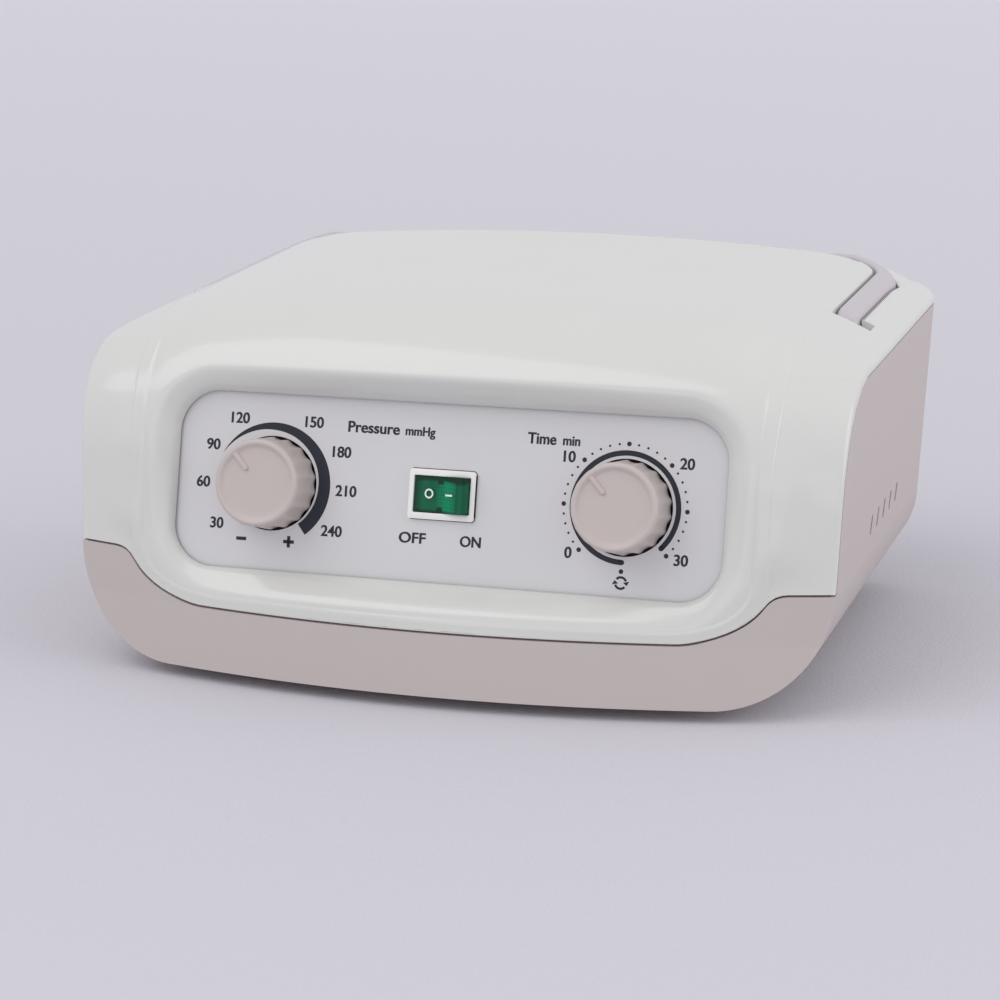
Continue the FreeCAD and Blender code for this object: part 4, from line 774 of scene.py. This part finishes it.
def topPoint(x, row, browX=None):
    # a point and normal of the top at a row up to the channel's front end; x is its place over the lid
    if row <= bendRows:
        t0 = bendShare(browX, cover["browRow"])
        return bendPoint(browX, blend(t0, 1, row / bendRows))
    corner, back = section(browX)[1:3]
    share = (row - bendRows) / nearRows
    y = blend(corner + back, cover["channelFront"], share)
    at = blend(browX, x, smooth(share))
    return Vector((at, y, crown(at))), Vector((0, 0, 1))


def lidPoint(column, row):
    browX, overX, share = columns[column]
    length = abs(abs(lidX) - cover["creaseTopX"])
    if row <= bendRows + nearRows:
        point, normal = topPoint(overX, row, browX)
        return point + normal * stripLift(point, share, length)
    k = row - bendRows - nearRows
    if k < len(sideRows):
        y = sideRows[k]
    else:
        y = sideRows[-1] + (lidY - sideRows[-1]) * (k - len(sideRows) + 1) / cornerRows
    x, y = roundCorner(overX, y)
    point = Vector((x, y, crown(x)))
    return point + Vector((0, 0, stripLift(point, share, length)))


# the top beside the lid, in front of the channel
railLines = [cover["channelWidth"] + cover["lidHalf"] + mouth, 115, 118, 120.4]
frontLines = [lidX, 104.6, 106.6, 109] + railLines
firstSide = bendRows + nearRows


def cheekDrop(point):
    # in front of its crease the cheek falls away a little more than behind it
    (nearX, nearY), (farX, farY) = cover["cheekCrease"]
    share = (point.x - nearX) / (farX - nearX)
    ahead = blend(nearY, farY, share) - point.y
    fade = 1 - ramp(ahead, *cover["breakFade"])
    return cover["cheekBreak"] * (1 - math.exp(-max(0, ahead) / 2)) * smooth(share * 6) * fade


def cheekPoint(side, stepIn=1.5):
    # a point stepIn from the edge gives the way that the surface takes there
    def place(column, row):
        browX = abs(browLine(True)[len(stripSteps) - 1 + column].x)
        outer = sideEdgeX(lambda at: topPoint(at, row, at)[0]) if row <= bendRows else form["halfWidth"]
        if column < len(frontLines):
            # the outer columns follow the side's edge as it rises
            start = sideEdgeX(lambda at: topPoint(at, 0, at)[0])
            inner = cover["stripBrowX"]
            browX = inner + (browX - inner) * (outer - inner) / (start - inner)
            point = topPoint(frontLines[column], row, browX)[0]
            point.z -= cheekDrop(point)
        else:
            last, normal = topPoint(form["halfWidth"], row, outer)
            before = Vector((last.x - stepIn, last.y, crown(last.x - stepIn)))
            if row <= bendRows:
                before = topPoint(0, row, outer - stepIn)[0]
            last.z -= cheekDrop(last)
            before.z -= cheekDrop(before)
            depth = cover["sideLip"] * (abs(normal.y) + abs(normal.z))
            line = edgeLine(last, before, normal, depth, cover["edgeRound"])
            point = line[column - len(frontLines)]
        return Vector((side * point.x, point.y, point.z))
    return place


# the handle's channel and the rail outside it, along a U from the right front end round to the left one
def uStations():
    stations = []
    outX = cover["lidHalf"] + cover["channelWidth"]
    outY, outR = cover["lidRear"] + cover["channelRear"], cover["channelCorner"]
    farR, straight = form["rearCorner"], 30

    def stretch(y, end):
        start = cover["pocketEnd"]
        return y if y <= start else blend(start, end, (y - start) / (sideRows[-1] - start))

    last = len(columns) - 1
    path = [(last, bendRows + nearRows + k) for k in range(len(sideRows) + cornerRows)]
    path += [(k, lidRows) for k in reversed(range(0, last))]
    path += [(0, bendRows + nearRows + k) for k in reversed(range(len(sideRows) + cornerRows - 1))]
    inX, inY = lidX - lidR, lidY - lidR
    for column, row in path:
        point = lidPoint(column, row)
        side = 1 if point.x > 0 else -1
        x, y = abs(point.x), point.y
        if y <= inY + 0.001:
            outer = Vector((outX, stretch(y, outY - outR), 0))
            far = Vector((form["halfWidth"], stretch(y, form["rearY"] - farR), 0))
            across = Vector((1, 0, 0))
        elif x <= inX + 0.001:
            outer = Vector((x * (outX - outR) / inX, outY, 0))
            far = Vector((x * (form["halfWidth"] - farR) / inX, form["rearY"], 0))
            share = (x - straight) / straight
            if share < 0:
                outer.x = far.x = x
            elif share < 1:
                outer.x = blend(straight, outer.x, share)
                far.x = blend(straight, far.x, smooth(share))
            across = Vector((0, 1, 0))
        else:
            way = math.atan2(y - inY, x - inX)
            across = Vector((math.cos(way), math.sin(way), 0))
            outer = Vector((outX - outR, outY - outR, 0)) + across * outR
            far = Vector((form["halfWidth"] - farR, form["rearY"] - farR, 0)) + across * farR
        mirror = Vector((side, 1, 1))
        inner = Vector((side * (abs(point.x) + across.x * mouth), point.y + across.y * mouth, point.z))
        notched = notchRows[0] <= row - firstSide <= notchRows[1]
        stations.append((inner, outer * mirror, far * mirror, across * mirror, notched))
    return stations


def railTop(x, y):
    # the rail's height: the crown, lower behind the lid and lowest over the finger scoop
    spread = abs(x)
    across = ramp(spread, *cover["dropFrom"]) * (1 - ramp(spread, *cover["dropTo"]))
    corner = across * ramp(y, *cover["dropRear"])
    if y <= cover["lidRear"] or spread >= cover["scoopHalf"]:
        top = crown(x) - cover["cornerDrop"] * corner
        return min(top, cover["rearTop"]) if y > cover["lidRear"] else top
    inner = cover["scoopHalf"] - cover["scoopRound"]
    bend = cover["scoopRound"] ** 2 - max(0, spread - inner) ** 2
    return cover["scoopFloor"] + cover["scoopRound"] - math.sqrt(max(0, bend))


stations = uStations()
turnCount = len(edgeTurns)


def channelLine(station):
    inner, outer, far, across, notched = station
    floor = crown((inner.x + outer.x) / 2) - cover["channelDepth"]
    if outer.y > cover["lidRear"]:
        floor = min(floor, cover["rearTop"] - cover["rearDepth"])
    if inner.y < cover["pocketEnd"]:
        floor = cover["pocketFloor"]
    down = Vector((0, 0, 1))
    insideTop = edgeLine(inner, inner - across, down, 2, mouth)[:turnCount]
    rimZ = cover["notchFloor"] if notched else railTop(outer.x, outer.y)
    rim = Vector((outer.x, outer.y, rimZ))
    outsideTop = edgeLine(rim, rim + across, down, 2, mouth)[:turnCount]
    shelf = (floor + rimZ) / 2
    line = insideTop + [Vector((inner.x, inner.y, floor)), Vector((outer.x, outer.y, floor)),
                        Vector((outer.x, outer.y, shelf))]
    return line + list(reversed(outsideTop))


def railLine(station):
    inner, outer, far, across, notched = station
    rear = outer.y > cover["lidRear"]
    width = form["halfWidth"] - cover["lidHalf"] - cover["channelWidth"]
    narrow, edge = form["rearY"] - cover["lidRear"] - cover["channelRear"], 1.1
    line = []
    for at in railLines:
        share = (at - cover["lidHalf"] - cover["channelWidth"]) / width
        if rear:
            squeeze = (narrow - mouth - edge) / (width - mouth - edge)
            share = (mouth + (share * width - mouth) * squeeze) / narrow
        point = outer.lerp(far, share)
        if at == railLines[0]:
            point = outer + across * mouth
        line.append(Vector((point.x, point.y, railTop(point.x, point.y))))
    line.insert(2, line[1].copy())
    if notched:
        line[0].z = line[1].z = cover["notchFloor"]
    last = Vector((far.x, far.y, railTop(far.x, far.y)))
    before = last - across
    before.z = railTop(before.x, before.y)
    depth = last.z - (form["railHeight"] - cover["sideLip"])
    return line + edgeLine(last, before, Vector((0, 0, 1)), max(depth, 1.2 * cover["edgeRound"]),
                           cover["edgeRound"])


channelLines = [channelLine(station) for station in stations]
rails = [railLine(station) for station in stations]


def endWall(side):
    # the wall at a front end of the channel: columns from the channel's outline up to the top
    inner, line = stations[0][0], channelLines[0]
    low = [Vector((x, inner.y, cover["pocketFloor"])) for x in frontLines[1:4]]
    outline = line[:turnCount + 1] + low + line[turnCount + 1:turnCount + 2] + line[-turnCount:]

    def place(column, row):
        x = outline[column].x
        return Vector((side * x, inner.y, outline[column].z if row == 0 else crown(x)))
    return gridPiece("cover_end", len(outline) - 1, 1, place)


def buildCover():
    count = len(rays)
    parts = [gridPiece("cover_dish", count, len(flareSteps) + len(faceSteps) - 1, dishPoint)]
    parts.append(sheetPiece("cover_band", bandLines))
    parts.append(gridPiece("cover_lid", len(columns) - 1, lidRows, lidPoint))
    cheekColumns, cheekRows = len(frontLines) + turnCount, bendRows + nearRows
    parts += [gridPiece("cover_cheek", cheekColumns, cheekRows, cheekPoint(side)) for side in (1, -1)]
    parts += [sheetPiece("cover_channel", channelLines), sheetPiece("cover_rail", rails)]
    parts += [endWall(side) for side in (1, -1)]
    piece = joinPieces("cover", *parts)
    mergeDoubles(piece, 0.02)
    return piece


coverPiece = buildCover()
print("cover skin", len(coverPiece.data.vertices), "points")
shadeSmooth(coverPiece, 40)
setIn(coverPiece, "casing", "casing_white", finishes["casing_white"], "upper_cover")

# dials
dial = {
    "offset": 56.2, "rest": 132, "flutes": 18, "fluteDepth": 0.68, "columns": 216,
    # the profile from the middle of the face out over the rim and down the side: radius, height, flute share
    "profile": ((0, 12.95, 0), (4, 12.97, 0), (8, 13, 0), (10.2, 13.03, 0), (10.75, 13.12, 0),
                (11.15, 13.4, 0), (11.5, 13.75, 0), (11.85, 13.93, 0), (12.2, 14, 0), (12.55, 13.96, 0),
                (12.9, 13.78, 0.02), (13.17, 13.45, 0.05), (13.32, 13, 0.1), (13.42, 12, 0.2),
                (13.55, 10.6, 0.36), (13.7, 8.8, 0.56), (13.85, 6.8, 0.76), (14, 4.6, 0.92),
                (14.15, 2.2, 1), (14.3, -0.5, 1), (14.2, -0.8, 1), (13.9, -0.9, 1), (0, -0.9, 0)),
    "ribHalf": 0.9, "ribFrom": 4.9, "ribTop": 13.78, "ribLow": 12.6,
}


def fluteCut(way):
    # a shallow scoop between two ridges
    share = (way * dial["flutes"] / (2 * math.pi)) % 1
    return max(0, math.cos((share - 0.5) * math.pi * 1.12)) ** 0.9 * dial["fluteDepth"]


def knobPlace(offset):
    rest = math.radians(dial["rest"])

    def place(column, row):
        way = 2 * math.pi * column / dial["columns"]
        radius, height, share = dial["profile"][row]
        radius -= fluteCut(way) * share
        return onPanel(offset + radius * math.cos(way + rest), radius * math.sin(way + rest), height)
    return place


def ribPlace(offset):
    rest, half = math.radians(dial["rest"]), dial["ribHalf"]

    def place(column, row):
        along = (0, 0.08, 0.25, 0.5, 0.8, 1.2, 3, 5, 6.8)[column]
        width = half * math.sqrt(1 - (1 - along / half) ** 2) if along < half else half
        turn = math.radians((-90, -75, -60, -35, 0, 35, 60, 75, 90)[row])
        across = width * math.copysign(abs(math.sin(turn)) ** 0.8, turn)
        out = dial["ribFrom"] + along
        tall = dial["ribTop"] - dial["ribLow"]
        height = dial["ribLow"] + tall * math.cos(turn) ** 0.45 * min(1, 0.4 + width / half)
        u = out * math.cos(rest) - across * math.sin(rest)
        v = out * math.sin(rest) + across * math.cos(rest)
        return onPanel(offset + u, v, height)
    return place


def buildKnob(name, side, body, node):
    offset = side * dial["offset"]
    turned = gridPiece(name, dial["columns"], len(dial["profile"]) - 1, knobPlace(offset))
    rib = gridPiece(name + "_rib", 8, 8, ribPlace(offset))
    knob = joinPieces(name, turned, rib)
    mergeDoubles(knob, 0.01)
    shadeSmooth(knob, 50)
    return setIn(knob, body, "knob_plastic", finishes["knob_plastic"], node)


buildKnob("pressureKnob", -1, "pressure_dial", "pressure_knob")
buildKnob("timerKnob", 1, "timer_dial", "timer_knob")
print("knobs")

# print on the panel
ink = {
    "height": 0.04, "digits": 3.3, "bold": 0.09,
    "pressure": {"30": (-73.5, -13.2), "60": (-78.8, -0.7), "90": (-76.2, 11), "120": (-67.8, 19.6),
                 "150": (-43.5, 19.6), "180": (-34, 11), "210": (-31.9, -0.8), "240": (-35.8, -13.3)},
    "timer": {"10": (38.1, 14.2), "20": (74.3, 14.2), "30": (74.2, -14.4), "0": (39.5, -14.4)},
    # first and last place across, the letters' middle height up
    "words": {"Pressure": (-32.4, -15.9, 19, 3.3), "mmHg": (-13.9, -4.5, 18.8, 2.7),
              "Time": (24.8, 33.6, 19, 3.3), "min": (35.8, 41, 18.8, 2.7),
              "OFF": (-13.9, -5.4, -13.5, 3.2), "ON": (5.6, 12.1, -13.5, 3.2)},
    "scaleOuter": 18.9, "scaleWidth": ((153, 0), (120, 1.3), (90, 2.3), (45, 3.2), (0, 3.85), (-52, 4.05)),
    "dotRing": 19, "bigDot": 0.72, "smallDot": 0.36, "arcInner": 15.5, "arcOuter": 17.1,
    "signs": ((-65.1, -17.6, 3.3, 1.05), (-49.5, -17.6, 3.5, 1.05), (-49.5, -17.6, 1.05, 3.5)),
    "arrows": (56.3, -22.4, 1.35, 2.05), "arrowHead": (0.95, 1.15),
}


def inkGrid(columns, rows, placeAt):
    return gridPiece("ink", columns, rows,
                     lambda column, row: onPanel(*placeAt(column, row), ink["height"]))


def ring(u, v, inner, outer, first, last, columns=48):
    def placeAt(column, row):
        way = math.radians(blend(first, last, column / columns))
        reach = inner(way) if row == 0 and callable(inner) else (inner, outer)[row]
        return u + reach * math.cos(way), v + reach * math.sin(way)
    return inkGrid(columns, 1, placeAt)


def dot(u, v, radius):
    return ring(u, v, 0, radius, 0, 360, 16)


def bar(u, v, width, height):
    return inkGrid(1, 1, lambda column, row: (u + (column - 0.5) * width, v + (row - 0.5) * height))


def letters(text, place, first=None, last=None, weight=0.014):
    # lettering of a given height whose width fits between two places, or is centred on one
    deselectAll()
    bpy.ops.object.text_add()
    label = bpy.context.object
    label.data.body = text
    label.data.offset = weight
    bpy.ops.object.convert(target="MESH")
    label = bpy.context.object
    points = [vertex.co.copy() for vertex in label.data.vertices]
    lowX, highX = min(p.x for p in points), max(p.x for p in points)
    tall = max(p.y for p in points)
    u, v, height = place
    scale = height / tall
    if first is None:
        width = (highX - lowX) * scale * 0.97
        first, last = u - width / 2, u + width / 2
    # laid down twice, a hair apart, for a bolder stroke
    second = label.copy()
    second.data = label.data.copy()
    scene.collection.objects.link(second)
    for layer, shift in ((label, -ink["bold"]), (second, ink["bold"])):
        for vertex in layer.data.vertices:
            across = blend(first, last, (vertex.co.x - lowX) / (highX - lowX)) + shift
            up = v - height / 2 + vertex.co.y * scale + shift * 0.4
            vertex.co = onPanel(across, up, ink["height"] + shift * 0.1) * mm
    return [label, second]


def scaleWidth(degrees):
    knots = ink["scaleWidth"]
    for (high, first), (low, second) in zip(knots, knots[1:]):
        if degrees >= low:
            return blend(first, second, (high - degrees) / (high - low))
    return knots[-1][1]


def printPanel():
    offset, outer = dial["offset"], ink["scaleOuter"]
    pieces = []
    for text, (u, v) in [*ink["pressure"].items(), *ink["timer"].items()]:
        pieces += letters(text, (u, v, ink["digits"]))
    for text, (first, last, v, height) in ink["words"].items():
        pieces += letters(text, (0, v, height), first, last)
    pieces.append(ring(0.2 - offset, -0.2, lambda way: outer - scaleWidth(math.degrees(way)), outer,
                       153, -52, 72))
    pieces += [bar(*signBar) for signBar in ink["signs"]]
    # the timer's minutes, its five-minute dots and its arc with round ends
    for k in range(31):
        way = math.radians(225 - 9 * k)
        size = ink["bigDot"] if k % 5 == 0 else ink["smallDot"]
        pieces.append(dot(offset + ink["dotRing"] * math.cos(way), ink["dotRing"] * math.sin(way), size))
    pieces.append(dot(offset, -ink["dotRing"], ink["bigDot"]))
    pieces.append(ring(offset, 0, ink["arcInner"], ink["arcOuter"], -90, -404, 120))
    middle, half = (ink["arcInner"] + ink["arcOuter"]) / 2, (ink["arcOuter"] - ink["arcInner"]) / 2
    for degrees in (-90, -44):
        way = math.radians(degrees)
        pieces.append(dot(offset + middle * math.cos(way), middle * math.sin(way), half))
    # two arrows that chase each other round
    (arrowU, arrowV, inner, outer), (halfHead, headLong) = ink["arrows"], ink["arrowHead"]
    for turn in (0, 180):
        pieces.append(ring(arrowU, arrowV, inner, outer, turn + 20, turn + 140, 12))
        tip = math.radians(turn + 12)
        out = Vector((math.cos(tip), math.sin(tip)))
        on = Vector((math.sin(tip), -math.cos(tip)))
        base = Vector((arrowU, arrowV)) + out * (inner + outer) / 2
        corners = (out * halfHead, out * -halfHead), (on * headLong, on * headLong)
        pieces.append(inkGrid(1, 1, lambda column, row: base + corners[row][column]))
    piece = joinPieces("panelPrint", *pieces)
    settlePrint(piece)
    return setIn(piece, "casing", "well_black", inkFinish)


def settlePrint(piece):
    # merge a print's points and turn its flat faces towards the front
    mergeDoubles(piece, 0.002, False)
    out = onPanel(0, 0, 1) - onPanel(0, 0, 0)
    choose(piece)
    for face in piece.data.polygons:
        face.select = face.normal.dot(out) < 0
    bpy.ops.object.mode_set(mode="EDIT")
    bpy.ops.mesh.select_mode(type="FACE")
    bpy.ops.mesh.flip_normals()
    bpy.ops.object.mode_set(mode="OBJECT")


printPanel()
print("panel print")

# rocker switch
switch = {
    "middle": -0.85, "bezelLong": 21, "bezelWide": 15.15, "bezelTall": 1.3, "corner": 1.1,
    "holeLong": 17.9, "holeWide": 11.3, "holeCorner": 0.4,
    "outline": 0.27, "outlineUnder": 0.1, "outlineHeight": 0.05,
}


def frameLine(long, wide, corner, count=6):
    # a rounded rectangle about the switch's middle, as places on the panel
    line = []
    for sx, sy, start in ((1, 1, 0), (-1, 1, 90), (-1, -1, 180), (1, -1, 270)):
        for k in range(count + 1):
            way = math.radians(start + 90 * k / count)
            line.append((sx * (long / 2 - corner) + corner * math.cos(way) + switch["middle"],
                         sy * (wide / 2 - corner) + corner * math.sin(way)))
    return line + line[:1]


def buildBezel():
    long, wide, corner, tall = (switch[key] for key in ("bezelLong", "bezelWide", "corner", "bezelTall"))
    holeLong, holeWide, holeCorner = switch["holeLong"], switch["holeWide"], switch["holeCorner"]
    steps = [(long - less, wide - less, corner, height)
             for less, height in ((0, 0.02), (0, tall - 0.45), (0.25, tall - 0.13), (0.8, tall))]
    steps += [(holeLong + more, holeWide + more, holeCorner + rounder, height)
              for more, rounder, height in ((0.5, 0.3, tall - 0.02), (0.15, 0.1, tall - 0.2),
                                            (0, 0, tall - 0.7), (0, 0, -3))]
    lines = [frameLine(*step[:3]) for step in steps]
    piece = gridPiece("bezel", len(lines[0]) - 1, len(steps) - 1,
                      lambda column, row: onPanel(*lines[row][column], steps[row][3]))
    mergeDoubles(piece, 0.002)
    shadeSmooth(piece, 40)
    return setIn(piece, "casing", "switch_white", finishes["switch_white"])


def buildOutline():
    # painted shadow: a dark hairline laid on the panel where the bezel meets it
    long, wide, corner, grow = (switch[key] for key in ("bezelLong", "bezelWide", "corner", "outline"))
    under = switch["outlineUnder"]
    inner = frameLine(long - under, wide - under, corner)
    outer = frameLine(long + 2 * grow, wide + 2 * grow, corner + grow)
    piece = gridPiece("bezelShadow", len(inner) - 1, 1,
                      lambda column, row: onPanel(*(inner, outer)[row][column], switch["outlineHeight"]))
    settlePrint(piece)
    return setIn(piece, "casing", "well_black", printedInkAndShadow("seam_shadow", tone(96, 76, 70)))


buildBezel()
buildOutline()


def buildMarks():
    # O and dash, laid on the rocker's tilted top
    marks = {"end": -9.6, "endHeight": 0.9, "tilt": 12.3, "above": 0.03, "ring": (-4.6, 0.2, 0.98, 1.48),
             "dash": (2.15, 0, 2.3, 0.55)}

    def onRocker(u, v):
        height = marks["endHeight"] + (u - marks["end"]) * math.tan(math.radians(marks["tilt"]))
        return onPanel(u, v, height + marks["above"])

    u, v, inner, outer = marks["ring"]

    def ringPlace(column, row):
        way = 2 * math.pi * column / 32
        reach = (inner, outer)[row]
        return onRocker(u + reach * math.cos(way), v + reach * math.sin(way))

    middle, up, long, thick = marks["dash"]
    piece = joinPieces("rockerMarks", gridPiece("ring", 32, 1, ringPlace), gridPiece(
        "dash", 1, 1, lambda column, row: onRocker(middle + (column - 0.5) * long, up + (row - 0.5) * thick)))
    settlePrint(piece)
    return setIn(piece, "rocker", "switch_white", printedInkAndShadow("mark_white", tone(236, 232, 234)))


buildMarks()
print("switch")

# carrying handle
grip = {
    "inX": 103.3, "outX": 110.2, "inY": 86, "outY": 90.4, "inR": 9.9, "outR": 16.4, "proud": 0.4,
    "thick": 10.2, "top": 110.4, "pivotY": 13.5, "pivotZ": 98, "eye": 9.1, "round": 1.5, "roundLow": 0.8,
}


def gripStations():
    # pairs of places, inner and outer, from the right arm's end round to the left one's
    pivot, eye = grip["pivotY"], grip["eye"]
    turns = 0, 6, 14, 24, 36, 50, 66, 82, 98, 114, 130, 146, 160
    arm = [pivot - eye * math.cos(math.radians(turn)) for turn in turns] + [22.6, 26, 36, 46, 56, 66]
    pairs = [((grip["inX"], y), (grip["outX"], y)) for y in arm]
    inMid = grip["inX"] - grip["inR"], grip["inY"] - grip["inR"]
    outMid = grip["outX"] - grip["outR"], grip["outY"] - grip["outR"]
    for k in range(13):
        way = math.radians(7.5 * k)
        pairs.append(tuple((mid[0] + radius * math.cos(way), mid[1] + radius * math.sin(way))
                           for mid, radius in ((inMid, grip["inR"]), (outMid, grip["outR"]))))
    rear = [84, 72, 58, 44, 30, 15]
    pairs += [((x, grip["inY"]), (x, grip["outY"])) for x in rear]
    return pairs + [((0, grip["inY"]), (0, grip["outY"]))] + [
        tuple((-x, y) for x, y in pair) for pair in reversed(pairs)]


def gripSection(pair):
    inner, outer = (Vector((*place, 0)) for place in pair)
    across = outer - inner
    wide = across.length
    across.normalize()
    x, y = abs((inner.x + outer.x) / 2), inner.y
    reach = grip["eye"] ** 2 - (y - grip["pivotY"]) ** 2
    bend = math.sqrt(max(0, reach))
    tops = []
    for place in (inner, outer):
        top = min(crown(abs(place.x)) + grip["proud"], grip["top"])
        tops.append(min(top, grip["pivotZ"] + bend) if y < grip["pivotY"] else top)
    low = crown(x) - grip["thick"]
    if y < grip["pivotY"]:
        low = grip["pivotZ"] - bend
    elif reach > 0:
        low = min(low, grip["pivotZ"] - bend)
    tall = min(tops) - low
    upper, lower = min(grip["round"], tall / 2.2), min(grip["roundLow"], tall / 2.2)
    line = []
    for turn in (0, 22, 45, 68, 90):
        way = math.radians(turn)
        line.append((upper * (1 - math.sin(way)), -upper * (1 - math.cos(way)), True))
    for turn in (90, 45, 0):
        way = math.radians(turn)
        line.append((lower * (1 - math.sin(way)), lower * (1 - math.cos(way)), False))
    line += [(wide - a, b, onTop) for a, b, onTop in reversed(line)]
    points = []
    for a, b, onTop in line:
        height = blend(*tops, a / wide) + b if onTop else low + b
        point = inner + across * a
        points.append(Vector((point.x, point.y, height)))
    return points + points[:1]


def buildGrip():
    sections = [gripSection(pair) for pair in gripStations()]
    piece = sheetPiece("handle", sections)
    mergeDoubles(piece, 0.01)
    shadeSmooth(piece, 40)
    return setIn(piece, "handle", "handle_plastic", finishes["handle_plastic"], "carry_handle")


buildGrip()
print("handle")

# the lower casing's lip behind the seam, in a darker taupe that is painted shade of the seam's gap
lip = {"half": 118.6, "inset": 1.3, "below": 1.2, "above": 1.8, "steps": 160}


def lipPoint(column, row):
    x = blend(-lip["half"], lip["half"], column / lip["steps"])
    z = seamHeight(x) + blend(-lip["below"], lip["above"], row)
    point, normal = skinAt(x, heightToUp(x, z))
    return point - normal * lip["inset"]


seamLip = gridPiece("seamLip", lip["steps"], 1, lipPoint)
mergeDoubles(seamLip, 0.002, False)
shadeSmooth(seamLip)
# painted shade: the lip is coloured far darker than the casing's taupe, as the gap's shade
shadedLipFinish = moulded("lip_taupe", tone(112, 94, 90), 0.6, 0.5, 0.012, 0.03)
setIn(seamLip, "casing", "casing_taupe", shadedLipFinish)
print("seam lip")

# floor, light and camera
lamps = {
    # place, width, height, power and the height that it looks at
    "key": ((-1.5, -1.5, 2.8), 3, 3, 35, 0.05), "fill": ((2.6, 0.1, 0.9), 2, 2, 20, 0.05),
    "front": ((0.2, -2.6, 0.25), 2.4, 1.2, 5, 0.06),
}


def plainFloor():
    deselectAll()
    bpy.ops.mesh.primitive_plane_add(size=12)
    floor = bpy.context.object
    floor.name = "floor"
    made = Finish("floor_paper", tone(213, 212, 221), 0.85)
    along = made.node("SeparateXYZ", None, {"Vector": made.place}, output=1)
    # painted light: the floor's colour grows lighter towards the back, standing in for the brighter light
    # there
    made.put("Base Color", made.mix((along - 0.3) / 3, tone(206, 204, 211), tone(241, 240, 248)))
    made.relief(made.noise(1.2, 3), 0.15)
    floor.data.materials.append(made.material)


def softLight(name, place, width, height, power, aim):
    light = bpy.data.lights.new(name, "AREA")
    light.shape = "RECTANGLE"
    light.size, light.size_y, light.energy = width, height, power
    lamp = bpy.data.objects.new(name, light)
    scene.collection.objects.link(lamp)
    lamp.location = place
    lamp.rotation_euler = (Vector((0, 0, aim)) - Vector(place)).to_track_quat("-Z", "Y").to_euler()


def studio():
    world = bpy.data.worlds.new("studio")
    scene.world = world
    world.use_nodes = True
    back = world.node_tree.nodes["Background"]
    back.inputs["Color"].default_value = tone(245, 245, 249)
    back.inputs["Strength"].default_value = 0.8
    for name, settings in lamps.items():
        softLight(name, *settings)


def frontCamera():
    # the camera's place and turn, in metres and degrees; focal is the lens in image widths
    view = {"place": (0.28309, -0.91849, 0.2939), "turn": 17.39533, "above": 14.75556, "roll": -0.568975,
            "focal": 3.058507}
    turn, above, roll = (math.radians(view[key]) for key in ("turn", "above", "roll"))
    right = Vector((math.cos(turn), math.sin(turn), 0))
    back = Vector((math.sin(turn) * math.cos(above), -math.cos(turn) * math.cos(above), math.sin(above)))
    up = back.cross(right)
    right, up = right * math.cos(roll) + up * math.sin(roll), up * math.cos(roll) - right * math.sin(roll)
    lens = bpy.data.cameras.new("camera")
    lens.sensor_width = 36
    lens.lens = lens.sensor_width * view["focal"]
    lens.clip_end = 50
    camera = bpy.data.objects.new("camera", lens)
    scene.collection.objects.link(camera)
    camera.matrix_world = Matrix.Translation(view["place"]) @ Matrix((right, up, back)).transposed().to_4x4()
    scene.camera = camera


plainFloor()
studio()
frontCamera()
scene.view_settings.view_transform = "Standard"
print("stage set")
